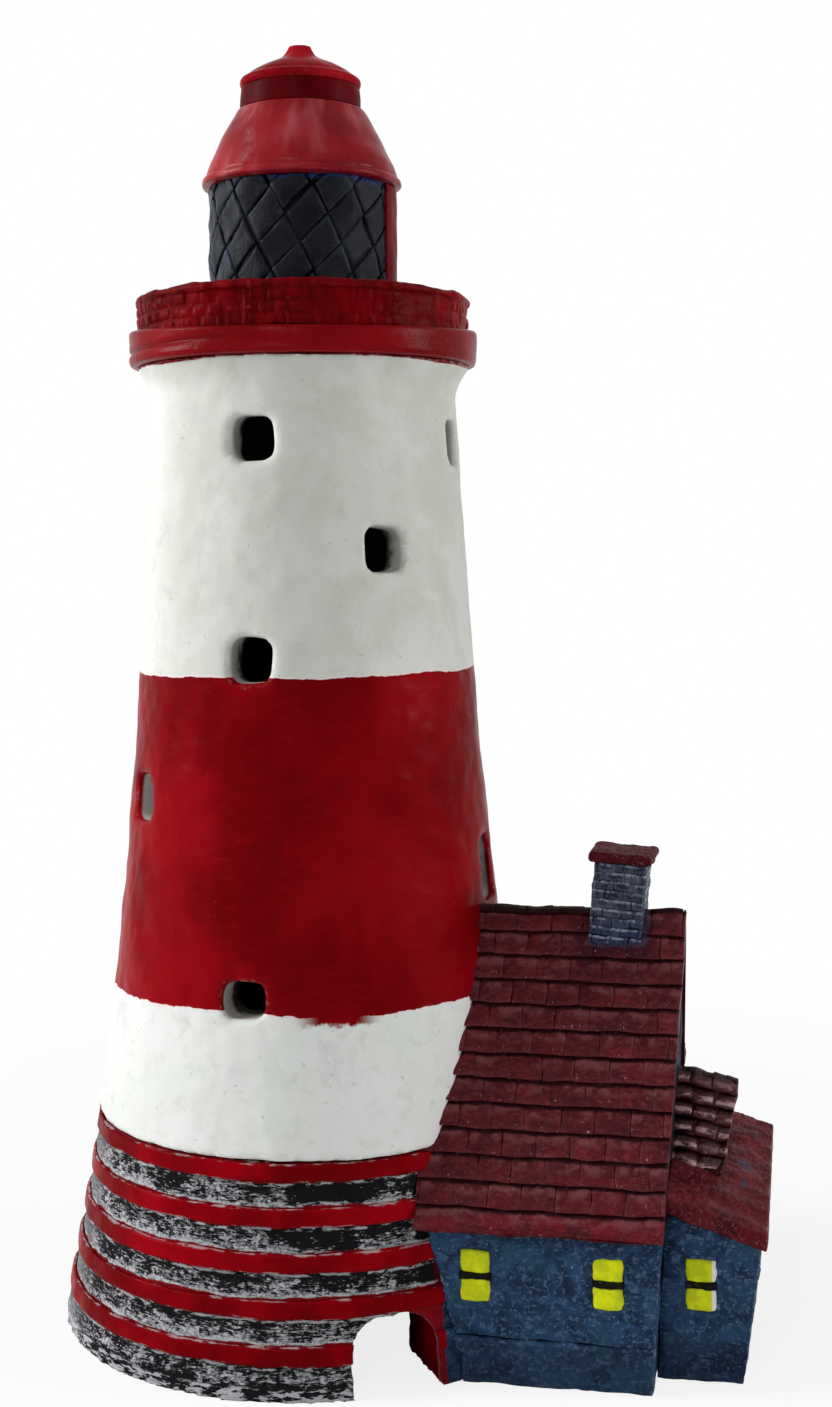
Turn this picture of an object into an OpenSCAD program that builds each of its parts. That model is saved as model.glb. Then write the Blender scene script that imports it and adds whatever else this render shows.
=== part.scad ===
// Aquarium lighthouse ornament: a hollow striped tower on a stone foot with a swim-through arch,
// a brick-walled gallery and a latticed lantern, and a cottage with a wing bonded to its side.
// The front of the cottage faces -Y, the ground is z = 0 and all sizes are in millimetres.
// An azimuth is an angle round the tower, from the front (-Y) towards the cottage side (+X).

/* [Tower] */
// Radius of the outline at the ground, over the painted rings
foot_r = 61.2; // [57:0.1:66]
// Radius that the straight part of the taper would have at the ground
taper_r = 48.9; // [44:0.1:53]
// Radius at the neck, under the gallery
neck_r = 35.8; // [33:0.1:37.5]
// Height of the neck, where the outline turns outwards
neck_z = 218; // [210:0.5:221]
// Height of the top of the shaft
shaft_top = 225.5; // [224:0.5:235]
// How far the outline flares out above the neck
neck_flare = 3.5; // [2:0.1:4.5]
// Wall thickness at the ground
foot_wall = 21.8; // [18:0.1:25]
// Wall thickness at the neck
neck_wall = 8.8; // [7:0.1:10.5]

/* [Painted rings of the foot] */
// Number of raised rings
ring_count = 5; // [3:1:6]
// Height of the first ring above the ground
ring_first = 7.5; // [6:0.1:9]
// Distance from one ring to the next
ring_pitch = 9.55; // [8.5:0.05:10.5]
// Height of a ring
ring_h = 4.25; // [3.5:0.05:5]
// How far a ring stands out from the stone
ring_proud = 0.9; // [0.6:0.1:1.4]
// Bevel along a ring's edges
ring_bevel = 0.35; // [0.2:0.05:0.5]

/* [Arch] */
// Azimuth of the arch
arch_az = 32.5; // [30:0.5:35]
// Width of the arch
arch_w = 20; // [18:0.5:23]
// Height of the arch
arch_h = 16.5; // [14:0.5:22]
// Radius of the arch's shoulders
arch_shoulder = 8; // [6:0.5:8.5]

/* [Tower windows] */
// Width of a window
window_w = 9.9; // [8:0.1:11]
// Height of a window
window_h = 10.3; // [8:0.1:11.5]
// Height of the taller stair window above the cottage
stair_window_h = 14.6; // [12:0.1:16]
// Height of the low window over the white band
low_window_h = 8.4; // [7:0.1:10]
// Corner radius of a window
window_corner = 2.6; // [1.5:0.1:3.2]
// Azimuth of the front column of windows
column_front = -4; // [-8:1:0]
// Azimuth of the column between front and cottage side
column_right = 43; // [38:1:48]
// Azimuth of the column on the cottage side
column_side = 88; // [84:1:92]
// Azimuth of the column left of the front
column_left = -51; // [-56:1:-46]
// Azimuth of the column away from the cottage
column_far = -92; // [-98:1:-88]
// Azimuth of the rear column
column_back = 180; // [175:1:185]
// Sill height of the low front window
sill_low = 80; // [77:0.5:84]
// Sill height of the stair window
sill_stair = 100.5; // [98:0.5:104]
// Sill height of the left window
sill_left = 121; // [116:0.5:126]
// Sill height of the middle front window
sill_middle = 153.4; // [149:0.1:157]
// Sill height of the right and far windows
sill_right = 177.6; // [173:0.1:182]
// Sill height of the top windows
sill_top = 202.3; // [198:0.1:205]

/* [Gallery] */
// Radius of the gallery's deck
deck_r = 41.2; // [40.2:0.1:44]
// Height of the deck
deck_h = 8.7; // [7:0.1:10]
// Rounding of the deck's edges
deck_round = 2; // [1:0.1:2.6]
// Radius of the parapet's face
parapet_r = 38.6; // [37:0.1:39]
// Height of the parapet above the deck
parapet_h = 7.3; // [6.5:0.1:9]
// Thickness of the parapet
parapet_wall = 2.8; // [2:0.1:3.5]
// How far the coping stands out from the parapet
coping_proud = 0.8; // [0.4:0.1:1]
// Height of the coping
coping_h = 1.7; // [1.2:0.1:2.2]
// Number of bricks in a course of the parapet
parapet_bricks = 60; // [40:2:64]
// Width of the joint between two bricks
parapet_joint = 0.65; // [0.4:0.05:0.9]
// How far a brick stands out
brick_proud = 0.35; // [0.2:0.05:0.5]

/* [Lantern] */
// Radius of the lantern room over its diamonds
lantern_r = 21.9; // [19:0.1:22.5]
// Height from the deck to the roof
lantern_h = 32.8; // [28:0.1:38]
// Number of diamonds round the whole lantern room
diamond_columns = 14; // [10:1:16]
// Height of one diamond of the lattice
diamond_h = 12.7; // [9:0.1:22]
// How far a diamond's top leans towards the cottage from its foot
diamond_lean = 3.2; // [0:0.1:4]
// Azimuth of the middle of a diamond
diamond_az = 8.6; // [0:0.2:25]
// Height of that diamond's middle above the deck
diamond_shift = 11.5; // [8:0.1:14]
// Width of the lines between the diamonds
line_w = 0.9; // [0.6:0.1:1.5]
// Depth of the lines between the diamonds
line_depth = 0.5; // [0.3:0.05:0.8]
// How far the blank panel stands out from the diamonds
panel_proud = 0.4; // [0.2:0.05:0.8]
// Azimuth where the blank panel starts
panel_start = 77; // [70:1:84]
// Angle that the blank panel covers
panel_sweep = 150; // [120:1:180]

/* [Lantern roof] */
// Radius of the rolled eave
eave_r = 23.6; // [23.2:0.1:26]
// Height of the rolled eave
eave_roll = 2.5; // [2:0.1:3.2]
// Height of the roof
roof_h = 18.2; // [16:0.1:22]
// Radius of the roof's shoulder under the vent
shoulder_r = 15.4; // [14.9:0.1:17]
// Radius of the vent
vent_r = 14.3; // [12:0.1:14.5]
// Height of the vent
vent_h = 5; // [4:0.1:7]
// Height of the vent's cap, with its stub
cap_h = 9.8; // [8:0.1:13]
// Radius of the stub on the cap
stub_r = 2.6; // [2:0.1:3.4]

/* [Cottage] */
// Distance from the tower's axis to the front wall
cottage_front = 41; // [38:0.5:42]
// Depth of the cottage from wall to wall
cottage_depth = 63.6; // [58:0.1:68]
// Distance from the tower's axis to the foot of the gable wall
gable_x = 86; // [80:0.5:90]
// Lean of the gable wall
gable_lean = 2.5; // [0:0.1:4]
// Height of the walls up to the eaves
wall_h = 34.4; // [31:0.1:38]
// Height of the plinth
plinth_h = 10.2; // [8:0.1:12]
// How far the plinth stands out
plinth_proud = 0.7; // [0.4:0.1:1.2]
// Height of the groove over the plinth
groove_h = 0.5; // [0.3:0.1:0.8]

/* [Cottage roof] */
// Height of the ridge above the ground
ridge_z = 100.3; // [94:0.1:106]
// How far the eaves stand out from the walls
eave_out = 2.4; // [1:0.1:3]
// How far the verge stands out from the gable
verge_out = 0.6; // [0.3:0.1:1.5]
// Thickness of the roof
roof_t = 2.5; // [2:0.1:3.2]
// Number of tile courses on a slope
tile_courses = 13; // [10:1:15]
// Step from one tile course to the next
tile_step = 1; // [0.6:0.1:1.3]
// Width of a tile
tile_w = 7.6; // [6:0.1:10]
// Width of the joint between two tiles
tile_joint = 0.5; // [0.3:0.05:0.7]

/* [Chimney] */
// Distance from the tower's axis to the middle of the stack, at the ridge
stack_x = 75.4; // [60:0.1:79]
// Width of the stack
stack_w = 12; // [10:0.1:14]
// Depth of the stack
stack_d = 14; // [10:0.1:15]
// How far the stack's middle lies behind the ridge
stack_back = 2.4; // [0:0.1:4]
// Lean of the stack towards the gable
stack_lean = 4.5; // [0:0.5:5]
// Height of the stack above the ridge
stack_rise = 11.1; // [9:0.1:14]
// Height of a brick course of the stack
stack_course = 2.1; // [1.8:0.05:2.6]
// Length of a brick of the stack
stack_brick = 4.2; // [3.5:0.1:5]
// Width and depth of the mortar joints
mortar = 0.35; // [0.25:0.05:0.5]
// How far the cap stands out from the stack
cap_out = 1.3; // [0.8:0.1:2]
// Thickness of the cap's slab
cap_t = 2.4; // [2:0.1:3.5]

/* [Wing] */
// Distance from the tower's axis to the front wall of the wing
wing_front = 32; // [28:0.5:36]
// Depth of the wing
wing_depth = 52.6; // [46:0.1:54]
// Distance from the tower's axis to the foot of the outer wall
wing_x = 105.2; // [100:0.1:110]
// Lean of the outer wall
wing_lean = 6.5; // [3:0.1:8]
// Height of the wing roof's top at its lowest corner
wing_roof_z = 34; // [32.5:0.1:37]
// Fall of the wing roof towards its outer side
wing_fall = 18.5; // [14:0.1:21]
// Rise of the wing roof towards the back
wing_rise = 8.3; // [5:0.1:11]
// Thickness of the wing roof
wing_roof_t = 3.7; // [3:0.1:4.5]
// How far the wing roof stands out from its walls
wing_roof_out = 1; // [0.6:0.1:1.6]

/* [Dormer roof] */
// Distance from the front wall of the cottage back to the dormer's ridge
dormer_back = 38.2; // [36:0.1:40]
// Height of the dormer's ridge at the gable wall
dormer_z = 62.4; // [59:0.1:66]
// Length of the dormer's ridge
dormer_l = 14.2; // [12:0.1:16]
// Fall of the dormer's ridge away from the gable wall
dormer_fall = 10; // [6:0.5:12]
// Pitch of the dormer's slopes
dormer_pitch = 62; // [56:0.5:66]
// Distance from one of its tile courses to the next, along the slope
dormer_course = 3.7; // [3.2:0.1:4.5]
// Step from one of its tile courses to the next
dormer_step = 1.3; // [0.9:0.1:1.6]

/* [Cottage windows] */
// Width of a window
pane_w = 6.8; // [5.5:0.1:8]
// Height of a window
pane_h = 11.6; // [9:0.1:13]
// Height of the bar across a window
pane_bar = 1.5; // [1:0.1:2]
// Depth of the recess that holds the panes
pane_recess = 0.8; // [0.6:0.1:1.2]
// Thickness of a pane
pane_t = 0.6; // [0.4:0.1:1]
// How far a bar stands out from the wall
bar_out = 0.35; // [0.2:0.05:0.6]
// Distance from the tower to the left window, at its sill
window_left_gap = 3.6; // [3:0.1:6]
// Distance from the tower's axis to the middle of the right window
window_right_x = 76.2; // [68:0.1:79]
// Sill height of the two main windows
window_sill = 18.1; // [14:0.1:19]
// Distance from the tower's axis to the middle of the wing's front window
wing_window_x = 95.7; // [93.5:0.1:98]
// Sill height of the wing's front window
wing_sill = 15.9; // [13:0.1:17]
// Distance from the wing's front wall back to the middle of its side window
side_window_back = 11; // [8:0.1:40]

/* [Fit] */
// Glue gap between the cottage and the tower
glue_gap = 0.2; // [0.1:0.05:0.3]

/* [Hidden] */
$fn = 96;
// Over-travel of a cutter past the face that it opens
cut = 2;
// Smallest overlap that makes two solids one
bite = 0.1;
// Steps of the shaft's outline
shaft_steps = 16;
// Steps of a rounded edge
round_steps = 5;
// Number of sides of the lantern room
room_sides = 56;

// Heights of the stacked pieces
foot_h = ring_first + (ring_count - 1) * ring_pitch + ring_h;
walk_z = shaft_top + deck_h;
roof_z = walk_z + lantern_h;
vent_z = roof_z + roof_h;
cap_z = vent_z + vent_h;

// Outline and bore of the tower
function tower_r(z) = let (u = 1 - z / neck_z)
    neck_r + (taper_r - neck_r) * u + (foot_r - taper_r) * pow(u, 3);
function stone_r(z) = tower_r(z) - ring_proud;
foot_bore = foot_r - foot_wall;
neck_bore = neck_r - neck_wall;
function bore_r(z) = foot_bore + (neck_bore - foot_bore) * min(z, neck_z) / neck_z;
function ring_z(i) = ring_first + i * ring_pitch;
function arc(cx, cy, r, a0, a1) = [for (i = [0:round_steps])
    let (a = a0 + (a1 - a0) * i / round_steps) [cx + r * cos(a), cy + r * sin(a)]];

// Sizes of the cottage that follow from the walls
front_y = -cottage_front;
back_y = front_y + cottage_depth;
ridge_y = (front_y + back_y) / 2;
eave_y = front_y - eave_out;
roof_run = ridge_y - eave_y;
roof_rise = ridge_z - wall_h;
roof_pitch = atan2(roof_rise, roof_run);
course_l = norm([roof_run, roof_rise]) / tile_courses;
roof_drop = roof_t / cos(roof_pitch);
window_left_x = sqrt(pow(tower_r(window_sill), 2) - pow(cottage_front, 2)) + window_left_gap + pane_w / 2;
stack_top = ridge_z + stack_rise;
stack_y = ridge_y + stack_back;
// Height inside the roof from which the stack is drawn before the roof is cut out of it
attic_z = (wall_h + ridge_z) / 2;

// Sizes of the wing that follow from its walls
wing_y = -wing_front;
wing_back_y = wing_y + wing_depth;
wing_edge_x = wing_x + wing_roof_z * tan(wing_lean) + wing_roof_out;
dormer_y = front_y + dormer_back;
dormer_courses = 7;

// The origin lies on the ground, under the middle of the whole ornament
axis_x = -(wing_edge_x - stone_r(0)) / 2;
// Reach of the boxes that cut or keep one side of a plane
reach = 140;

tower_windows = [
    [column_front, sill_low, low_window_h],
    [column_front, sill_middle, window_h],
    [column_front, sill_top, window_h],
    [column_right, sill_right, window_h],
    [column_side, sill_stair, stair_window_h],
    [column_side, sill_top, window_h],
    [column_left, sill_left, window_h],
    [column_far, sill_right, window_h],
    [column_back, sill_middle, window_h],
    [column_back, sill_top, window_h]];

module on_axis() translate([axis_x, 0, 0]) children();

// An outline drawn in x and z, run outwards at an azimuth from one radius to another
module run_outwards(az, r0, r1) rotate([0, 0, az]) translate([0, -r0, 0]) rotate([90, 0, 0])
    linear_extrude(r1 - r0) children();

module rounded_rect(w, h, r) {
    square([w - 2 * r, h], center = true);
    square([w, h - 2 * r], center = true);
    for (sx = [-1, 1], sy = [-1, 1])
        translate([sx * (w / 2 - r), sy * (h / 2 - r)]) circle(r, $fn = 32);
}

module arch_outline() {
    translate([-arch_w / 2, -cut]) square([arch_w, arch_h - arch_shoulder + cut]);
    translate([arch_shoulder - arch_w / 2, -cut]) square([arch_w - 2 * arch_shoulder, arch_h + cut]);
    for (s = [-1, 1])
        translate([s * (arch_w / 2 - arch_shoulder), arch_h - arch_shoulder]) circle(arch_shoulder);
}

module arch_cut() run_outwards(arch_az, 0, foot_r + cut) arch_outline();

module window_cuts() for (w = tower_windows)
    run_outwards(w[0], 0, foot_r) translate([0, w[1] + w[2] / 2]) rounded_rect(window_w, w[2], window_corner);

// Everything that the tower fills, grown by a gap, which the cottage is cut away from
module tower_envelope(gap) rotate_extrude() polygon(concat(
    [[0, -cut], [stone_r(0) + gap, -cut], [stone_r(0) + gap, ring_first - gap]],
    [for (i = [0:ring_count - 1]) each [
        [tower_r(ring_z(i)) + gap, ring_z(i) - gap],
        [tower_r(ring_z(i) + ring_h) + gap, ring_z(i) + ring_h + gap]]],
    [for (i = [0:shaft_steps])
        let (z = foot_h + (neck_z - foot_h) * i / shaft_steps) if (z > foot_h + 2 * gap) [tower_r(z) + gap, z]],
    [[0, neck_z]]));

module stone_foot() color("dimgray") on_axis() difference() {
    rotate_extrude() polygon(concat(
        [[foot_bore, 0], [stone_r(0), 0]],
        [for (i = [0:ring_count - 1]) each [
            [stone_r(ring_z(i)), ring_z(i)],
            [stone_r(ring_z(i) + ring_h), ring_z(i) + ring_h]]],
        [[bore_r(foot_h), foot_h]]));
    arch_cut();
}

module painted_ring(z) let (z1 = z + ring_h, b = ring_bevel)
    rotate_extrude() polygon([
        [stone_r(z), z], [tower_r(z) - b, z], [tower_r(z), z + b],
        [tower_r(z1), z1 - b], [tower_r(z1) - b, z1], [stone_r(z1), z1]]);

module painted_rings() color("firebrick") on_axis() difference() {
    for (i = [0:ring_count - 1]) painted_ring(ring_z(i));
    arch_cut();
}

module tower_shaft() color("gainsboro") on_axis() difference() {
    rotate_extrude() polygon(concat(
        [[bore_r(foot_h), foot_h]],
        [for (i = [0:shaft_steps])
            let (z = foot_h + (neck_z - foot_h) * i / shaft_steps) [tower_r(z), z]],
        [for (i = [1:round_steps])
            let (u = i / round_steps)
            [neck_r + neck_flare * u * u, neck_z + (shaft_top - neck_z) * u]],
        [[neck_bore, shaft_top], [neck_bore, neck_z]]));
    window_cuts();
}

module gallery_deck() color("firebrick") on_axis() rotate_extrude() polygon(concat(
    [[0, shaft_top]],
    arc(deck_r - deck_round, shaft_top + deck_round, deck_round, -90, 0),
    arc(deck_r - deck_round, walk_z - deck_round, deck_round, 0, 90),
    [[0, walk_z]]));

// One course of bricks that stand out from the parapet
module parapet_course(z, h, shift) let (step = 360 / parapet_bricks)
    for (k = [0:parapet_bricks - 1])
        rotate([0, 0, (k + shift) * step])
            translate([0, -parapet_r, z])
                linear_extrude(h) square([2 * parapet_r * tan(step / 2) - parapet_joint, 2 * brick_proud],
                    center = true);

module gallery_parapet() color("firebrick") on_axis() {
    top = walk_z + parapet_h;
    course = (parapet_h - coping_h) / 2;
    rotate_extrude() polygon([
        [parapet_r - parapet_wall, walk_z], [parapet_r, walk_z], [parapet_r, top - coping_h],
        [parapet_r + coping_proud, top - coping_h], [parapet_r + coping_proud, top - coping_proud],
        [parapet_r, top], [parapet_r - parapet_wall, top]]);
    for (row = [0, 1])
        parapet_course(walk_z + row * course + parapet_joint / 2, course - parapet_joint, row / 2);
}

// The many-sided outline of the lantern room
function room_outline(r) = [for (i = [0:room_sides - 1])
    let (a = i * 360 / room_sides) r * [cos(a), sin(a)]];

// A sector round the axis, from one azimuth through an angle
function sector(start, sweep) = concat([[0, 0]],
    [for (i = [0:2 * round_steps])
        let (a = start + i * sweep / 2 / round_steps - 90) foot_r * [cos(a), sin(a)]]);

// The raised diamonds between the lattice lines, which lean both ways round the glazed side
module diamonds() {
    step = 360 / diamond_columns;
    full_w = 2 * lantern_r * sin(step / 2);
    w = full_w - line_w;
    h = diamond_h * w / full_w;
    lean = diamond_lean * w / full_w;
    lean_az = asin(diamond_lean / 2 / lantern_r);
    for (row = [-ceil(2 * diamond_shift / diamond_h):ceil(2 * (lantern_h - diamond_shift) / diamond_h)])
        for (k = [-diamond_columns:diamond_columns - 1]) {
            az = diamond_az + row * lean_az + k * step / 2;
            if ((k + row) % 2 == 0 && az < panel_start + step / 2 && az > panel_start + panel_sweep - 360 - step / 2)
                run_outwards(az, lantern_r - 3 * line_depth, lantern_r + cut)
                    translate([0, walk_z + diamond_shift + row * diamond_h / 2])
                        polygon([[-w / 2, 0], [-lean / 2, -h / 2], [w / 2, 0], [lean / 2, h / 2]]);
        }
}

module lantern_room() color("midnightblue") on_axis() {
    translate([0, 0, walk_z]) linear_extrude(lantern_h) polygon(room_outline(lantern_r - line_depth));
    intersection() {
        diamonds();
        translate([0, 0, walk_z]) linear_extrude(lantern_h) intersection() {
            polygon(room_outline(lantern_r));
            polygon(sector(panel_start + panel_sweep, 360 - panel_sweep));
        }
    }
}

module lantern_blank_panel() color("firebrick") on_axis()
    translate([0, 0, walk_z]) linear_extrude(lantern_h) intersection() {
        difference() {
            polygon(room_outline(lantern_r + panel_proud));
            polygon(room_outline(lantern_r - line_depth));
        }
        polygon(sector(panel_start, panel_sweep));
    }

module lantern_roof() color("firebrick") on_axis() let (roll = eave_roll / 2, rise = roof_h - eave_roll)
    rotate_extrude() polygon(concat(
        [[0, roof_z]],
        arc(eave_r - roll, roof_z + roll, roll, -90, 70),
        [for (i = [1:round_steps])
            let (u = i / round_steps, r = eave_r - roll - (eave_r - roll - shoulder_r) * pow(u, 1.35))
            [r, roof_z + eave_roll + rise * pow(u, 1.1)]],
        [[0, vent_z]]));

module roof_vent() color("firebrick") on_axis()
    translate([0, 0, vent_z]) cylinder(r1 = vent_r, r2 = vent_r - 0.2, h = vent_h);

// The cap's ogee: a rolled eave, a hollow slope and a blunt stub
module vent_cap() color("firebrick") on_axis() let (lip = cap_h * 0.13, slope = cap_h - 2 * lip)
    rotate_extrude() polygon(concat(
        [[0, cap_z]],
        arc(vent_r - lip, cap_z + lip, lip, -90, 60),
        [for (i = [1:round_steps])
            let (u = i / round_steps)
            [vent_r - lip + (stub_r + 1 - vent_r + lip) * pow(u, 0.8), cap_z + 2 * lip + slope * 0.8 * pow(u, 1.5)]],
        [[stub_r, cap_z + cap_h], [0, cap_z + cap_h]]));

// The side of the leaning gable wall that the cottage lies on, moved out by a margin
module inside_gable(out) translate([gable_x + out, 0, 0]) rotate([0, gable_lean, 0])
    translate([-reach, -reach, -reach]) cube([reach, 2 * reach, 2 * reach]);

module outside_gable() translate([gable_x, 0, 0]) rotate([0, gable_lean, 0])
    translate([0, -reach, -reach]) cube([reach, 2 * reach, 2 * reach]);

// An outline drawn in y and z, run along x from the tower past the gable
module run_past_gable() rotate([90, 0, 90]) linear_extrude(gable_x + reach / 4) children();

module cottage_plinth() color("slategray") on_axis() difference() {
    intersection() {
        run_past_gable() polygon([
            [front_y - plinth_proud, 0], [back_y + plinth_proud, 0],
            [back_y + plinth_proud, plinth_h - groove_h], [back_y, plinth_h],
            [front_y, plinth_h], [front_y - plinth_proud, plinth_h - groove_h]]);
        inside_gable(0);
    }
    tower_envelope(glue_gap);
}

// Places an outline of a window, drawn from the middle of its sill, on each wall
module on_front(x) translate([x, front_y, window_sill]) rotate([90, 0, 0]) children();
module on_wing_front() translate([wing_window_x, wing_y, wing_sill]) rotate([90, 0, 0]) children();
module on_wing_side() translate([wing_x, wing_y + side_window_back, 0]) rotate([0, wing_lean, 0])
    translate([0, 0, wing_sill]) rotate([90, 0, 90]) children();

module window_recess() translate([-pane_w / 2, 0, -pane_recess]) cube([pane_w, pane_h, pane_recess + cut]);

// The two yellow panes of a window, above and below its bar
module pane_pair() let (h = (pane_h - pane_bar) / 2)
    for (y = [0, h + pane_bar])
        translate([-pane_w / 2, y, -pane_recess]) cube([pane_w, h, pane_t]);

module pane_bar_solid() translate([-pane_w / 2, (pane_h - pane_bar) / 2, -pane_recess])
    cube([pane_w, pane_bar, pane_recess + bar_out]);

module cottage_walls() color("slategray") on_axis() difference() {
    intersection() {
        run_past_gable() polygon([
            [front_y, plinth_h], [back_y, plinth_h], [back_y, wall_h],
            [2 * ridge_y - eave_y - roof_drop / tan(roof_pitch), wall_h],
            [ridge_y, ridge_z - roof_drop],
            [eave_y + roof_drop / tan(roof_pitch), wall_h], [front_y, wall_h]]);
        inside_gable(0);
    }
    tower_envelope(glue_gap);
    on_front(window_left_x) window_recess();
    on_front(window_right_x) window_recess();
}

// A point of the front slope, from its distance up the slope and out of it
function slope_point(s, n) = [
    eave_y + s * cos(roof_pitch) - n * sin(roof_pitch),
    wall_h + s * sin(roof_pitch) + n * cos(roof_pitch)];
front_steps = [for (i = [0:tile_courses - 1]) each [
    slope_point(i * course_l, tile_step), slope_point((i + 1) * course_l, 0)]];
back_steps = [for (i = [len(front_steps) - 2:-1:0]) [2 * ridge_y - front_steps[i][0], front_steps[i][1]]];

// Outline of the stepped roof in y and z, down to its eaves
roof_outline = concat([[eave_y, wall_h]], front_steps, back_steps, [[2 * ridge_y - eave_y, wall_h]]);

// Where the front (-1) or back (1) slope meets the tower, at a distance up the slope
function meet_x(side, s) = let (p = slope_point(s, 0), y = ridge_y + side * (ridge_y - p[0]))
    sqrt(pow(tower_r(p[1]), 2) - y * y);

// The joints between the tiles of one slope, which lie half a tile apart from course to course
module tile_joints(side) for (row = [0:tile_courses - 1]) {
    shift = tile_w * (row % 2) / 2 + tile_w / 8 * sin(row * 137);
    clear = max(meet_x(side, row * course_l), meet_x(side, (row + 1) * course_l)) + tile_w / 4;
    for (x = [gable_x + verge_out - tile_w / 2 - shift:-tile_w:clear])
        translate([x, eave_y, wall_h]) rotate([roof_pitch, 0, 0])
            translate([0, row * course_l - bite, tile_step / 20])
                cube([tile_joint, course_l, 2 * tile_step]);
}

module cottage_roof() color("brown") on_axis() difference() {
    intersection() {
        run_past_gable() difference() {
            polygon(roof_outline);
            polygon([[eave_y + roof_drop / tan(roof_pitch), wall_h], [ridge_y, ridge_z - roof_drop],
                [2 * ridge_y - eave_y - roof_drop / tan(roof_pitch), wall_h],
                [ridge_y, wall_h - reach]]);
        }
        inside_gable(verge_out);
    }
    tower_envelope(glue_gap);
    tile_joints(-1);
    translate([0, 2 * ridge_y, 0]) mirror([0, 1, 0]) tile_joints(1);
}

// Height where a slope meets the stack's front (-1) or back (1) face, clear of the tile steps
function face_foot(s) = ridge_z - abs(stack_y + s * stack_d / 2 - ridge_y) * tan(roof_pitch)
    + 2 * tile_step / cos(roof_pitch);

// Mortar joints of the stack: level ones all round and upright ones between its bricks
module mortar_joints() for (row = [0:floor((stack_top - face_foot(1)) / stack_course)]) {
    z = stack_top - row * stack_course;
    shift = (row % 2) * stack_brick / 2;
    for (s = [-1, 1]) {
        translate([s * stack_w / 2, 0, z]) cube([2 * mortar, stack_d + cut, mortar], center = true);
        for (y = [-stack_brick - shift:stack_brick:stack_d / 2 - mortar])
            translate([s * stack_w / 2, y, z - stack_course / 2])
                cube([2 * mortar, mortar, stack_course], center = true);
        if (z > face_foot(s) + mortar) {
            translate([0, s * stack_d / 2, z]) cube([stack_w + cut, 2 * mortar, mortar], center = true);
            for (x = [-stack_brick - shift:stack_brick:stack_w / 2 - mortar])
                translate([x, s * stack_d / 2, z - stack_course / 2])
                    cube([mortar, 2 * mortar, stack_course], center = true);
        }
    }
}

// Places what is drawn round the middle of the upright stack, with its heights kept, on the leaning stack
module on_stack() translate([stack_x, stack_y, ridge_z]) rotate([0, stack_lean, 0])
    translate([0, 0, -ridge_z]) children();

module chimney_stack() color("steelblue") on_axis() difference() {
    on_stack() translate([-stack_w / 2, -stack_d / 2, attic_z]) cube([stack_w, stack_d, stack_top - attic_z]);
    run_past_gable() polygon(roof_outline);
    on_stack() mortar_joints();
}

// The cap: a slab with a bevel all round its top and its underside
module chimney_cap() color("maroon") on_axis() on_stack() translate([0, 0, stack_top]) {
    w = stack_w + 2 * cap_out;
    d = stack_d + 2 * cap_out;
    bevel = cap_t / 4;
    intersection() {
        translate([-w / 2, 0, 0]) rotate([90, 0, 90]) linear_extrude(w) bevelled(d, cap_t, bevel);
        translate([0, d / 2, 0]) rotate([90, 0, 0]) linear_extrude(d) bevelled(w, cap_t, bevel);
    }
}

module bevelled(w, h, b) polygon([
    [b - w / 2, 0], [w / 2 - b, 0], [w / 2, b], [w / 2, h - b],
    [w / 2 - b, h], [b - w / 2, h], [-w / 2, h - b], [-w / 2, b]]);

// The half space under the wing roof's top face, moved down by a depth
module under_wing_roof(depth) translate([wing_edge_x, wing_y - wing_roof_out, wing_roof_z])
    rotate([wing_rise, wing_fall, 0]) translate([-reach, -reach, -depth - reach])
        cube([2 * reach, 2 * reach, reach]);

module wing_walls() color("slategray") on_axis() difference() {
    intersection() {
        translate([0, wing_back_y, 0]) rotate([90, 0, 0]) linear_extrude(wing_depth)
            polygon([[gable_x, 0], [wing_x, 0], [wing_x + reach / 2 * tan(wing_lean), reach / 2],
                [gable_x, reach / 2]]);
        under_wing_roof(wing_roof_t);
        outside_gable();
    }
    on_wing_front() window_recess();
    on_wing_side() window_recess();
}

module wing_roof() color("brown") on_axis() difference() {
    intersection() {
        translate([gable_x, wing_y - wing_roof_out, 0])
            cube([wing_edge_x - gable_x, wing_depth + 2 * wing_roof_out, reach / 2]);
        under_wing_roof(0);
    }
    under_wing_roof(wing_roof_t);
    inside_gable(0);
}

// A small pitched roof with deep tile courses, which stands on the wing roof against the gable wall
module dormer_roof() color("maroon") on_axis() difference() {
    translate([gable_x + dormer_z * tan(gable_lean), dormer_y, dormer_z]) rotate([0, dormer_fall, 0])
        translate([-dormer_l, 0, 0]) rotate([90, 0, 90]) linear_extrude(2 * dormer_l) dormer_outline();
    under_wing_roof(0);
    inside_gable(0);
}

// Stepped slopes on both sides of the ridge, drawn in y and z from the ridge
module dormer_outline() let (
    down = dormer_courses * dormer_course,
    half = [for (i = [0:dormer_courses - 1]) each [
        [i * dormer_course, 0], [(i + 1) * dormer_course, dormer_step]]],
    slope = [for (p = half) [
        p[0] * cos(dormer_pitch) + p[1] * sin(dormer_pitch),
        -p[0] * sin(dormer_pitch) + p[1] * cos(dormer_pitch)]])
    polygon(concat(slope, [[0, -down]], [for (i = [len(slope) - 1:-1:1]) [-slope[i][0], slope[i][1]]]));

module main_window_left() color("gold") on_axis() on_front(window_left_x) pane_pair();

module main_window_right() color("gold") on_axis() on_front(window_right_x) pane_pair();

module wing_window() color("gold") on_axis() on_wing_front() pane_pair();

module side_window() color("gold") on_axis() on_wing_side() pane_pair();

module glazing_bars() color("black") on_axis() {
    on_front(window_left_x) pane_bar_solid();
    on_front(window_right_x) pane_bar_solid();
    on_wing_front() pane_bar_solid();
    on_wing_side() pane_bar_solid();
}

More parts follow.
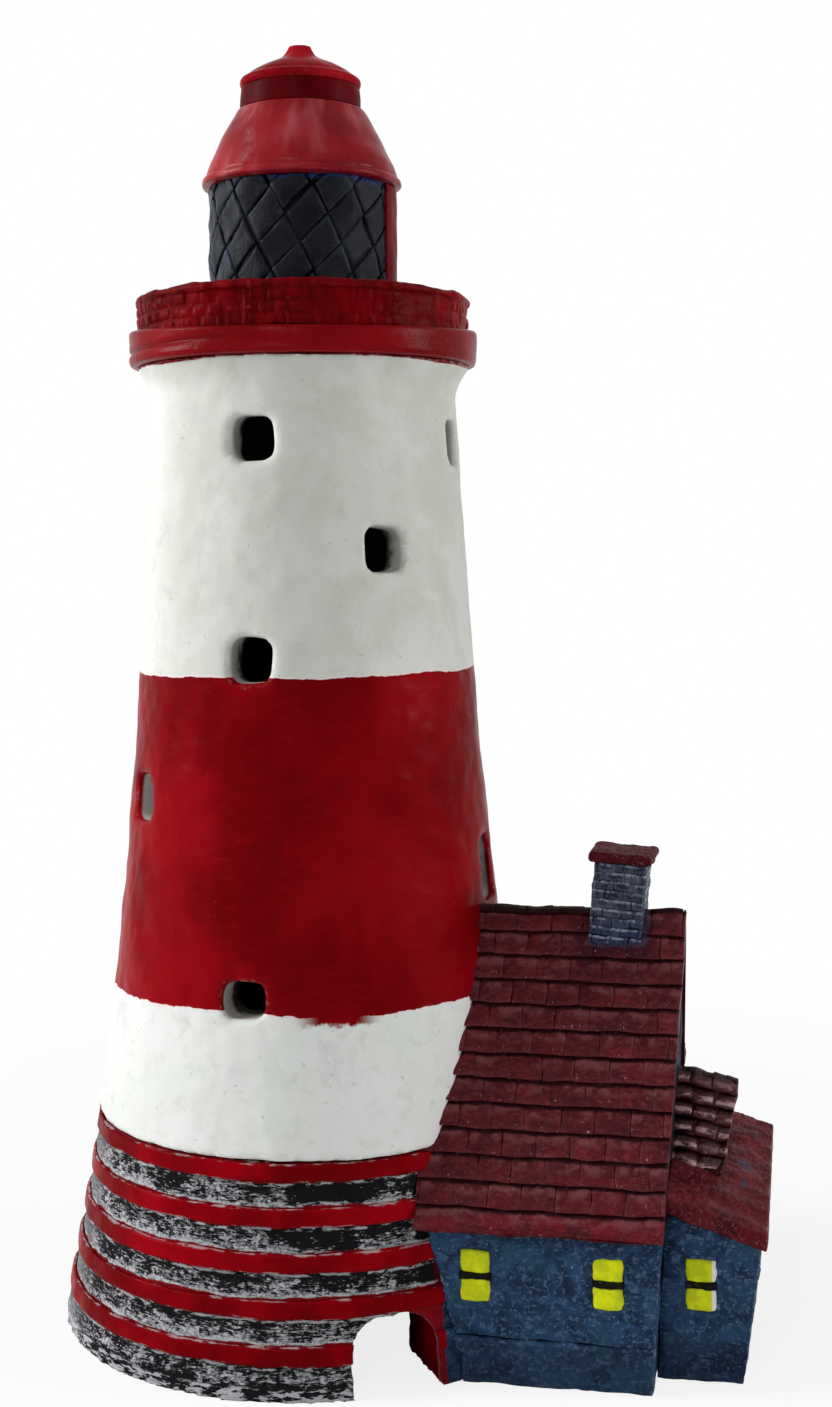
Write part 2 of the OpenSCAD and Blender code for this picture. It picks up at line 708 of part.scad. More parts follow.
stone_foot();
painted_rings();
tower_shaft();
gallery_deck();
gallery_parapet();
lantern_room();
lantern_blank_panel();
lantern_roof();
roof_vent();
vent_cap();
cottage_plinth();
cottage_walls();
cottage_roof();
chimney_stack();
chimney_cap();
wing_walls();
wing_roof();
dormer_roof();
main_window_left();
main_window_right();
wing_window();
side_window();
glazing_bars();
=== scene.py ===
"""Dresses the lighthouse ornament: hand-painted resin castings on the fixed frame of its solids.

Lengths are in metres unless a name ends in _mm. The tower's axis is upright, the cottage stands on
its +X side and the front, with the cottage's windows, faces -Y. An azimuth is counted in degrees
from the front towards the cottage.
"""

import logging
import math
from contextlib import contextmanager
from dataclasses import dataclass, fields
from enum import Enum
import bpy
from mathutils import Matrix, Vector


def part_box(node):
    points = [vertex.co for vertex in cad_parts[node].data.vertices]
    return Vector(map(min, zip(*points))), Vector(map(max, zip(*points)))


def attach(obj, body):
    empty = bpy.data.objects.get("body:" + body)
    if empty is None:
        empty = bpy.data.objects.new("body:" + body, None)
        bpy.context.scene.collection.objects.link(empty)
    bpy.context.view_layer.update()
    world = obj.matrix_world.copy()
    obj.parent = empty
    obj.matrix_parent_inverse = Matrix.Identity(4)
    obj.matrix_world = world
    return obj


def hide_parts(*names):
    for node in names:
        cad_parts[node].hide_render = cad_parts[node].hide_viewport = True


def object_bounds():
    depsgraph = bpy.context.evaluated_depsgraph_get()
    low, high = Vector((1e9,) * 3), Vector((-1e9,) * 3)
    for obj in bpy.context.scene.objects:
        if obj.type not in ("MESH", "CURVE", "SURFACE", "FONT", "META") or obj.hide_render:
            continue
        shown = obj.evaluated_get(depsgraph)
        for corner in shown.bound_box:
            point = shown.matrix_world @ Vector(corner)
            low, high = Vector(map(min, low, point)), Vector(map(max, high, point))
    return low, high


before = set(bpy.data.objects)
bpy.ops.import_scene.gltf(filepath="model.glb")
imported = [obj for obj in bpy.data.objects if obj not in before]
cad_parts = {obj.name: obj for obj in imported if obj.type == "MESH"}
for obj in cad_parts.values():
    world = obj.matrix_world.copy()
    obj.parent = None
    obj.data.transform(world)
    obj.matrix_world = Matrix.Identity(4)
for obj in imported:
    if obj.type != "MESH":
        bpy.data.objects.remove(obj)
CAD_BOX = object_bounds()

from types import SimpleNamespace
from typing import Callable, Iterable, Iterator, Sequence

import bmesh
import bpy
import numpy as np
from mathutils import Matrix, Vector, noise

log = logging.getLogger("lighthouse")
Colour = tuple[float, float, float]
Triple = tuple[float, float, float]
Outline = list[tuple[float, float]]
Patch = Callable[[float, float], Vector]
Socket = bpy.types.NodeSocket
Thing = bpy.types.Object

MM = 0.001
GABLE_LEAN = math.radians(2.5)
DRIFT_SEED = 7


def axis_x() -> float:
    """Returns the X of the tower's axis, read from the gallery deck."""
    low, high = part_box("gallery_deck")
    return (low.x + high.x) / 2


AXIS = axis_x()
AXIS_MM = AXIS / MM


# Node graphs


def formula(operation: str, swapped: bool = False) -> Callable[["Value", object], "Value"]:
    """Returns the method that writes an operator's Math node.

    Args:
        operation: the Math node's operation.
        swapped: the other value comes first, as in 1 - value.

    Returns:
        The method, for a class of values.
    """

    def method(self: "Value", other: object) -> "Value":
        """Returns the result of the operation on this value and another."""
        given = (other, self) if swapped else (self, other)
        return self.graph.math(operation, *given)

    return method


class Value:
    """A socket of a graph that formulas are written with; a | b is the larger of two masks."""

    __add__, __radd__ = formula("ADD"), formula("ADD", swapped=True)
    __sub__, __rsub__ = formula("SUBTRACT"), formula("SUBTRACT", swapped=True)
    __mul__, __rmul__ = formula("MULTIPLY"), formula("MULTIPLY", swapped=True)
    __truediv__, __rtruediv__ = formula("DIVIDE"), formula("DIVIDE", swapped=True)
    __pow__, __mod__, __or__ = formula("POWER"), formula("MODULO"), formula("MAXIMUM")

    def __init__(self, graph: "Graph", socket: Socket) -> None:
        """Takes the graph that new nodes go into and the socket that the value comes from."""
        self.graph = graph
        self.socket = socket

    def __abs__(self) -> "Value":
        """Returns the value without its sign."""
        return self.graph.math("ABSOLUTE", self)

    def __neg__(self) -> "Value":
        """Returns the value with its sign turned."""
        return self * -1.0

    def ease(self, low: object, high: object, out_low: float = 0.0, out_high: float = 1.0) -> "Value":
        """Returns the value eased from one range to another, with flat ends."""
        made = self.graph.node("ShaderNodeMapRange", interpolation_type="SMOOTHSTEP")
        names = ("Value", "From Min", "From Max", "To Min", "To Max")
        for name, given in zip(names, (self, low, high, out_low, out_high)):
            self.graph.put(made.inputs[name], given)
        return Value(self.graph, made.outputs["Result"])

    def between(self, first: object, second: object) -> "Value":
        """Returns the number that lies this far from the first to the second."""
        made = self.graph.node("ShaderNodeMix", data_type="FLOAT")
        for index, given in ((0, self), (2, first), (3, second)):
            self.graph.put(made.inputs[index], given)
        return Value(self.graph, made.outputs[0])

    def noise(self, scale: object, detail: float = 3.0, rough: float = 0.55,
              warp: float = 0.0) -> "Value":
        """Returns the Noise Texture at this place.

        Args:
            scale: waves per unit of the place.
            detail: octaves.
            rough: weight of the finer octaves.
            warp: distortion.

        Returns:
            A value round 0.5.
        """
        made = self.graph.node("ShaderNodeTexNoise")
        given = {"Vector": self, "Scale": scale, "Detail": detail, "Roughness": rough, "Distortion": warp}
        for name, value in given.items():
            self.graph.put(made.inputs[name], value)
        return Value(self.graph, made.outputs["Fac"])

    def stretched(self, x: object, y: object, z: object) -> "Value":
        """Returns this place with each of its parts multiplied, so that a pattern runs along one."""
        plain = all(isinstance(part, float) for part in (x, y, z))
        return self.graph.vector("MULTIPLY", self, (x, y, z) if plain else self.graph.combine(x, y, z))

    def split(self) -> tuple["Value", "Value", "Value"]:
        """Returns the three parts of a vector."""
        made = self.graph.node("ShaderNodeSeparateXYZ")
        self.graph.put(made.inputs[0], self)
        return tuple(Value(self.graph, made.outputs[index]) for index in range(3))


class Effect(Enum):
    """The shader groups that several paints share."""

    PLACE = "Place"
    BRUSHED_EDGE = "Brushed Edge"
    CAST_SKIN = "Cast Skin"
    DRY_BRUSH = "Dry Brush"
    WORN_EDGE = "Edge Wear And Hollow Shade"
    BRUSH_MARKS = "Brush Marks"
    SLATE_COAT = "Slate Coat"


Groups = dict[Effect, bpy.types.NodeTree]


class Graph:
    """A thin writer of nodes, for materials, their shared groups and the geometry trees."""

    def __init__(self, tree: bpy.types.NodeTree, groups: Groups | None = None) -> None:
        """Takes the tree that the nodes go into and the shared groups made so far."""
        self.tree = tree
        self.groups = groups or {}

    def node(self, kind: str, *values: object, **settings: object) -> bpy.types.Node:
        """Adds a node.

        Args:
            kind: the node's type name.
            values: what goes into its first inputs, in order.
            settings: attributes to set on it.

        Returns:
            The new node.
        """
        made = self.tree.nodes.new(kind)
        for name, value in settings.items():
            setattr(made, name, value)
        for socket, value in zip([socket for socket in made.inputs if socket.enabled], values):
            self.put(socket, value)
        return made

    def put(self, socket: Socket, value: object) -> None:
        """Links an input socket to a value, or sets a plain number, vector or colour on it."""
        if isinstance(value, Value):
            self.tree.links.new(value.socket, socket)
        elif isinstance(value, tuple) and len(value) == 3 and socket.type == "RGBA":
            socket.default_value = (*value, 1.0)
        else:
            socket.default_value = value

    def take(self, node: bpy.types.Node, output: int | str = 0) -> Value:
        """Returns an output of a node as a value."""
        return Value(self, node.outputs[output])

    def math(self, operation: str, *values: object, clamp: bool = False) -> Value:
        """Returns the result of a Math node."""
        return self.take(self.node("ShaderNodeMath", *values, operation=operation, use_clamp=clamp))

    def vector(self, operation: str, *values: object) -> Value:
        """Returns the result of a Vector Math node."""
        made = self.node("ShaderNodeVectorMath", operation=operation)
        for socket, value in zip(made.inputs, values):
            self.put(socket, value)
        return self.take(made, "Value" if operation == "LENGTH" else "Vector")

    def combine(self, x: object, y: object, z: object) -> Value:
        """Returns a vector made of three values."""
        return self.take(self.node("ShaderNodeCombineXYZ", x, y, z))

    def mix(self, factor: object, first: object, second: object) -> Value:
        """Returns a mix of two colours."""
        made = self.node("ShaderNodeMix", data_type="RGBA")
        for index, given in ((0, factor), (6, first), (7, second)):
            self.put(made.inputs[index], given)
        return self.take(made, 2)

    def use(self, effect: Effect, **values: object) -> SimpleNamespace:
        """Places a shared group and returns its outputs by name.

        Args:
            effect: the group.
            values: its inputs.

        Returns:
            The outputs, each as a value.
        """
        made = self.node("ShaderNodeGroup", node_tree=self.groups[effect])
        for name, value in values.items():
            self.put(made.inputs[name], value)
        return SimpleNamespace(**{socket.name: Value(self, socket) for socket in made.outputs})

    def place(self) -> SimpleNamespace:
        """Returns the point's place: mm, height, radius, azimuth and wrapped."""
        return self.use(Effect.PLACE)

    def tone(self) -> Value:
        """Returns the random tone of a laid tile, brick or diamond, which is 0 on the core under it."""
        return self.take(self.node("ShaderNodeAttribute", attribute_name="tone"), "Fac")

    def patch(self) -> tuple[Value, Value]:
        """Returns how far across and how far up its own patch a laid piece's point lies, from 0 to 1."""
        across, up, _ = self.take(self.node("ShaderNodeUVMap", uv_map="patch")).split()
        return across, up

    def link(self, source: bpy.types.Node, target: bpy.types.Node, name: int | str = 0) -> None:
        """Joins the first output of a node to an input of another."""
        self.tree.links.new(source.outputs[0], target.inputs[name])


class Coat:
    """A colour built up in layers of paint."""

    def __init__(self, graph: Graph, base: object) -> None:
        """Takes the graph that the layers go into and the lowest colour."""
        self.graph = graph
        self.colour = base

    def lay(self, mask: object, paint: object) -> "Coat":
        """Lays a paint over the colour where a mask is 1 and returns the same coat."""
        self.colour = self.graph.mix(mask, self.colour, paint)
        return self


class GroupGraph(Graph):
    """A shader group with number inputs, which is closed by giving its outputs."""

    def __init__(self, effect: Effect, groups: Groups, **inputs: float) -> None:
        """Opens the group with its inputs and their default values."""
        super().__init__(bpy.data.node_groups.new(effect.value, "ShaderNodeTree"), groups)
        for key, value in inputs.items():
            made = self.tree.interface.new_socket(name=key, in_out="INPUT", socket_type="NodeSocketFloat")
            made.default_value = value
        source = self.node("NodeGroupInput")
        self.ins = SimpleNamespace(**{key: self.take(source, key) for key in inputs})

    def give(self, **outputs: Value) -> bpy.types.NodeTree:
        """Closes the group with its outputs and returns its tree."""
        kinds = {"VALUE": "Float", "VECTOR": "Vector", "RGBA": "Color"}
        for key, value in outputs.items():
            kind = "NodeSocket" + kinds[value.socket.type]
            self.tree.interface.new_socket(name=key, in_out="OUTPUT", socket_type=kind)
        sink = self.node("NodeGroupOutput")
        for key, value in outputs.items():
            self.put(sink.inputs[key], value)
        return self.tree


class SharedEffects:
    """The shader groups that several paints use, each built once."""

    wrap_mm = 0.75
    navy_deep: Colour = (0.0065, 0.018, 0.047)
    slate_mid: Colour = (0.021, 0.056, 0.127)
    slate_dab: Colour = (0.066, 0.13, 0.23)
    slate_stroke: Colour = (0.15, 0.22, 0.33)
    slate_green: Colour = (0.022, 0.07, 0.11)
    slate_fleck: Colour = (0.42, 0.47, 0.52)
    # Painted shade at the foot of the walls.
    seam_dark: Colour = (0.004, 0.008, 0.018)

    def __init__(self) -> None:
        """Builds every group; the place comes first, because the others use it."""
        self.groups: Groups = {}
        builders = {Effect.PLACE: self.place, Effect.BRUSHED_EDGE: self.brushed_edge,
                    Effect.CAST_SKIN: self.cast_skin, Effect.DRY_BRUSH: self.dry_brush,
                    Effect.WORN_EDGE: self.worn_edge, Effect.BRUSH_MARKS: self.brush_marks,
                    Effect.SLATE_COAT: self.slate_coat}
        for effect, build in builders.items():
            self.groups[effect] = build()

    def place(self) -> bpy.types.NodeTree:
        """Returns the group that gives a point's place in millimetres and round the tower's axis."""
        g = GroupGraph(Effect.PLACE, self.groups)
        per_metre = 1 / MM
        mm = g.take(g.node("ShaderNodeTexCoord"), "Object").stretched(per_metre, per_metre, per_metre)
        x, y, z = mm.split()
        dx = x - AXIS_MM
        radius = g.math("SQRT", dx * dx + y * y)
        azimuth = g.math("ARCTAN2", dx, -y) * (180 / math.pi)
        wrapped = g.combine(azimuth * self.wrap_mm, radius, z)
        return g.give(mm=mm, height=z, radius=radius, azimuth=azimuth, wrapped=wrapped)

    def brushed_edge(self) -> bpy.types.NodeTree:
        """Returns the group that masks what lies above a hand-painted line."""
        g = GroupGraph(Effect.BRUSHED_EDGE, self.groups, level=0.0, wobble=0.6, softness=0.12, tilt=0.0)
        place = g.place()
        slow = place.mm.noise(0.045, 1.0) - 0.5
        quick = place.mm.noise(0.33, 3.0, 0.6) - 0.5
        line = g.ins.level + (slow * 2.4 + quick) * g.ins.wobble + g.ins.tilt * place.azimuth
        over = place.height - line
        return g.give(above=over.ease(-g.ins.softness, g.ins.softness), rim=1.0 - abs(over).ease(0.05, 0.55))

    def cast_skin(self) -> bpy.types.NodeTree:
        """Returns the group that gives the relief of a cast and thickly painted skin."""
        g = GroupGraph(Effect.CAST_SKIN, self.groups, lumps=0.12, grain=0.02, pits=0.03, size=1.0)
        mm = g.place().mm
        lumps = mm.noise(0.22 / g.ins.size, 2.0, 0.5, 0.4)
        grain = mm.noise(2.4 / g.ins.size, 4.0, 0.65)
        pitted = mm.noise(0.9 / g.ins.size, 2.0, 0.5).ease(0.70, 0.78)
        height = lumps * g.ins.lumps + grain * g.ins.grain - pitted * g.ins.pits
        return g.give(height=height, pitted=pitted)

    def dry_brush(self) -> bpy.types.NodeTree:
        """Returns the group that masks where a nearly dry brush leaves its paint on rough stone."""
        g = GroupGraph(Effect.DRY_BRUSH, self.groups, cover=0.5, streak=3.0, scale=1.0)
        place = g.place()
        fine = place.wrapped.stretched(1.0 / g.ins.streak, 1.0, 1.0).noise(1.15 * g.ins.scale, 5.0, 0.72)
        broad = place.wrapped.noise(0.1 * g.ins.scale, 2.0, 0.5, 0.6)
        flecks = place.mm.noise(0.55 * g.ins.scale, 4.0, 0.7)
        amount = fine + ((broad - 0.5) * 0.45 + (flecks - 0.5) * 0.45) + (g.ins.cover - 0.5)
        return g.give(paint=amount.ease(0.475, 0.55), relief=fine)

    def worn_edge(self) -> bpy.types.NodeTree:
        """Returns the group that masks sharp outer edges, for wear, and deep corners, for painted shade."""
        g = GroupGraph(Effect.WORN_EDGE, self.groups, start=0.52, full=0.6, ragged=0.25)
        point = g.take(g.node("ShaderNodeNewGeometry"), "Pointiness")
        speck = (g.place().mm.noise(1.1, 4.0, 0.7) - 0.5) * g.ins.ragged
        # The hollow mask marks deep corners; the paints lay painted shade there.
        return g.give(edge=(point + speck).ease(g.ins.start, g.ins.full), hollow=point.ease(0.5, 0.42))

    def brush_marks(self) -> bpy.types.NodeTree:
        """Returns the group that gives the slow change of depth of a brushed coat, run along its stroke."""
        g = GroupGraph(Effect.BRUSH_MARKS, self.groups, along=6.0, scale=1.0)
        place = g.place()
        at = place.wrapped.stretched(1.0 / g.ins.along, 1.0, 1.0)
        return g.give(depth=place.mm.noise(0.035 * g.ins.scale, 3.0, 0.55, 0.3),
                      stroke=at.noise(1.3 * g.ins.scale, 3.0, 0.6))

    def slate_coat(self) -> bpy.types.NodeTree:
        """Returns the group that gives the colour of a slate-blue coat, dabbed on unevenly, with painted
        shade darkening it low down.
        """
        g = GroupGraph(Effect.SLATE_COAT, self.groups)
        place = g.place()
        mm = place.mm
        dabs = mm.noise(0.8, 4.0, 0.72, 0.4)
        strokes = mm.stretched(0.5, 0.5, 1.3).noise(1.1, 4.0, 0.7, 0.15)
        coat = Coat(g, self.navy_deep).lay(mm.noise(0.16, 4.0, 0.62, 0.8).ease(0.36, 0.62), self.slate_mid)
        coat.lay(dabs.ease(0.52, 0.62) * 0.75, self.slate_dab)
        coat.lay(strokes.ease(0.59, 0.69) * 0.6, self.slate_stroke)
        coat.lay(mm.noise(0.09, 2.0).ease(0.52, 0.66) * 0.4, self.slate_green)
        coat.lay(mm.noise(1.3, 3.0, 0.6).ease(0.69, 0.74) * 0.75, self.slate_fleck)
        # Painted shade: the coat darkens below about 10 mm.
        coat.lay(place.height.ease(10.6, 8.6, 0.0, 0.42), self.seam_dark)
        return g.give(colour=coat.colour, dabs=dabs, strokes=strokes)


# Finishes


@dataclass(frozen=True)
class Surface:
    """What a paint feeds into its shader; the relief is in millimetres."""

    colour: Value
    rough: object
    relief: Value
    shine: Value | None = None


@dataclass(frozen=True)
class Finish:
    """What every painted finish has."""

    name: str
    gloss: float = 0.35
    shine: float = 0.12
    relief_mm: float = 1.0

    def build(self, effects: SharedEffects) -> bpy.types.Material:
        """Returns the finished material."""
        made = bpy.data.materials.new(self.name)
        made.use_nodes = True
        made.node_tree.nodes.clear()
        g = Graph(made.node_tree, effects.groups)
        surface = self.paint(g)
        bump = g.node("ShaderNodeBump")
        bump.inputs["Strength"].default_value = 1.0
        bump.inputs["Distance"].default_value = MM * self.relief_mm
        g.put(bump.inputs["Height"], surface.relief)
        shader = g.node("ShaderNodeBsdfPrincipled")
        given = {"Base Color": surface.colour, "Roughness": surface.rough, "IOR": 1.5,
                 "Specular IOR Level": self.shine if surface.shine is None else surface.shine}
        for name, value in given.items():
            g.put(shader.inputs[name], value)
        g.link(bump, shader, "Normal")
        g.link(shader, g.node("ShaderNodeOutputMaterial"), "Surface")
        return made

    def paint(self, g: Graph) -> Surface:
        """Returns what the finish looks like at a point."""
        raise NotImplementedError


@dataclass(frozen=True)
class RedGloss(Finish):
    """Deep red gloss paint, brushed on thickly, duller and pinker where it is thin."""

    body: Colour = (0.25, 0.0035, 0.008)
    deep: Colour = (0.13, 0.0008, 0.003)
    thin: Colour = (0.34, 0.028, 0.035)
    run: Colour = (0.05, 0.0003, 0.001)
    # Painted shade for deep corners.
    hollow: Colour = (0.05, 0.0, 0.002)
    wear: float = 0.0
    streaks: bool = False
    bloom: float = 0.0

    def paint(self, g: Graph) -> Surface:
        """Returns the red paint."""
        marks = g.use(Effect.BRUSH_MARKS, along=7.0, scale=1.0)
        skin = g.use(Effect.CAST_SKIN, lumps=0.22, grain=0.02, pits=0.05)
        wear_and_shade = g.use(Effect.WORN_EDGE, start=0.515, full=0.58, ragged=0.10)
        coat = Coat(g, self.deep).lay(marks.depth.ease(0.34, 0.66), self.body)
        coat.lay(marks.stroke.ease(0.45, 0.75) * 0.35, self.body)
        if self.streaks:
            runs = g.place().wrapped.stretched(1.0, 1.0, 0.12).noise(0.42, 3.0, 0.6)
            coat.lay(runs.ease(0.52, 0.36, 0.0, 0.6), self.run)
            coat.lay(runs.ease(0.58, 0.72, 0.0, 0.3), self.thin)
        if self.bloom:
            cloud = g.place().wrapped.stretched(1.0, 1.0, 0.6).noise(0.085, 2.0, 0.45)
            coat.lay(cloud.ease(0.5, 0.32, 0.0, 0.6), self.deep)
            coat.lay(cloud.ease(0.5, 0.78, 0.0, self.bloom), self.thin)
        coat.lay(wear_and_shade.edge * (0.55 + self.wear), self.thin)
        # Painted shade darkens the hollows.
        coat.lay(wear_and_shade.hollow * 0.7, self.hollow)
        rough = marks.stroke.between(self.gloss - 0.08, self.gloss + 0.1)
        return Surface(coat.colour, rough, skin.height + marks.stroke * 0.03)


@dataclass(frozen=True)
class ShaftStripes(Finish):
    """Off-white and red bands of the shaft, with bare resin in the windows and inside."""

    white: Colour = (0.66, 0.69, 0.655)
    white_warm: Colour = (0.71, 0.715, 0.70)
    # The next two colours are painted shade: the darker, greener white of the upper shaft.
    upper_white_shade: Colour = (0.50, 0.52, 0.455)
    upper_white_shade_pale: Colour = (0.58, 0.585, 0.555)
    bluish: Colour = (0.50, 0.52, 0.54)
    greenish: Colour = (0.43, 0.45, 0.40)
    dirt: Colour = (0.12, 0.12, 0.1)
    pink_rim: Colour = (0.85, 0.62, 0.62)
    edge_white: Colour = (0.86, 0.85, 0.84)
    pit: Colour = (0.3, 0.3, 0.26)
    red: Colour = (0.235, 0.0015, 0.005)
    red_deep: Colour = (0.14, 0.0006, 0.0025)
    red_fresh: Colour = (0.30, 0.004, 0.009)
    bare: Colour = (0.36, 0.35, 0.33)
    bare_pale: Colour = (0.5, 0.49, 0.46)
    # Painted shade deep inside the shaft.
    bare_deep: Colour = (0.05, 0.045, 0.042)
    foot_level_mm: float = 50.25
    red_low_mm: float = 81.0
    red_high_mm: float = 154.9
    deck_level_mm: float = 224.9
    # The lit left side's azimuth, where the painted shade of the upper shaft is weakest.
    lit_azimuth: float = -75.0
    smear_azimuth: float = 22.0

    def paint(self, g: Graph) -> Surface:
        """Returns the striped paint."""
        place = g.place()
        low = g.use(Effect.BRUSHED_EDGE, level=self.red_low_mm, wobble=1.5, softness=0.1)
        high = g.use(Effect.BRUSHED_EDGE, level=self.red_high_mm, wobble=0.9, softness=0.1, tilt=0.003)
        foot = g.use(Effect.BRUSHED_EDGE, level=self.foot_level_mm, wobble=0.7, softness=0.12)
        top = g.use(Effect.BRUSHED_EDGE, level=self.deck_level_mm, wobble=0.5, softness=0.12)
        marks = g.use(Effect.BRUSH_MARKS, along=5.0, scale=0.9)
        skin = g.use(Effect.CAST_SKIN, lumps=0.28, grain=0.018, pits=0.12, size=1.4)
        rim = low.rim | high.rim
        band = low.above * (1.0 - high.above) | (1.0 - foot.above) | top.above | self.smear(g, place)
        red = Coat(g, self.red_deep).lay(marks.depth.ease(0.36, 0.64), self.red)
        red.lay(marks.stroke.ease(0.5, 0.8) * 0.3, self.red_fresh)
        paint = Coat(g, self.weathered_white(g, place, marks, rim)).lay(band, red.colour)
        edge = g.use(Effect.WORN_EDGE, start=0.53, full=0.58, ragged=0.1).edge
        paint.lay(edge * band.between(0.7, 0.15), self.edge_white)
        paint.lay(skin.pitted * band.between(0.2, 0.0), self.pit)
        depth = self.outline(g, place.height) - place.radius
        inside = depth.ease(1.3, 2.2)
        bare = Coat(g, g.mix(place.mm.noise(0.4, 4.0), self.bare, self.bare_pale))
        # Painted shade: the bare resin darkens deeper inside the hollow shaft.
        bare.lay((depth + place.mm.noise(0.35, 3.0, 0.6) * 7.0).ease(8.2, 11.0), self.bare_deep)
        rough = inside.between(band.between(0.5, self.gloss), 0.85)
        relief = skin.height + marks.stroke * 0.02 + rim * 0.05
        return Surface(paint.lay(inside, bare.colour).colour, rough, relief)

    def weathered_white(self, g: Graph, place: SimpleNamespace, marks: SimpleNamespace, rim: Value) -> Value:
        """Returns the white paint: warm on the lit left side and, as painted shade, darker and greener
        towards the top; clouded, with a little dirt.
        """
        mm = place.mm
        upper_white_shade = g.mix(mm.noise(0.05, 5.0, 0.62, 0.5).ease(0.34, 0.62), self.upper_white_shade, self.upper_white_shade_pale)
        turned = abs(place.azimuth - self.lit_azimuth).ease(20.0, 55.0, 0.35, 1.0)
        white = Coat(g, self.white).lay(marks.depth.ease(0.3, 0.7), self.white_warm)
        # Painted shade: darker, greener white towards the top, weakest on the lit left side.
        white.lay(place.height.ease(120.0, 175.0) * turned, upper_white_shade)
        white.lay(mm.noise(0.09, 3.0, 0.55, 0.9).ease(0.56, 0.7, 0.0, 0.4), self.bluish)
        white.lay(place.wrapped.noise(0.22, 5.0, 0.7, 0.8).ease(0.5, 0.72, 0.0, 0.3), self.greenish)
        white.lay(mm.noise(0.55, 4.0, 0.65).ease(0.735, 0.77) * 0.6, self.dirt)
        return white.lay(rim * 0.55, self.pink_rim).colour

    def outline(self, g: Graph, height: Value) -> Value:
        """Returns the outline's radius at a height, by the formula that the solid has."""
        u = g.math("MAXIMUM", 1.0 - height / 218.0, 0.0)
        return 35.8 + u * 13.1 + u ** 3.0 * 12.3

    def smear(self, g: Graph, place: SimpleNamespace) -> Value:
        """Returns the mask of the red smear that runs down under the red band."""
        across = abs(place.azimuth - self.smear_azimuth).ease(13.0, 5.0)
        drop = place.mm.noise(0.5, 3.0) * 3.4
        down = (self.red_low_mm - place.height - drop).ease(0.6, -0.4)
        return across * (down * place.height.ease(self.red_low_mm + 4, self.red_low_mm + 2))


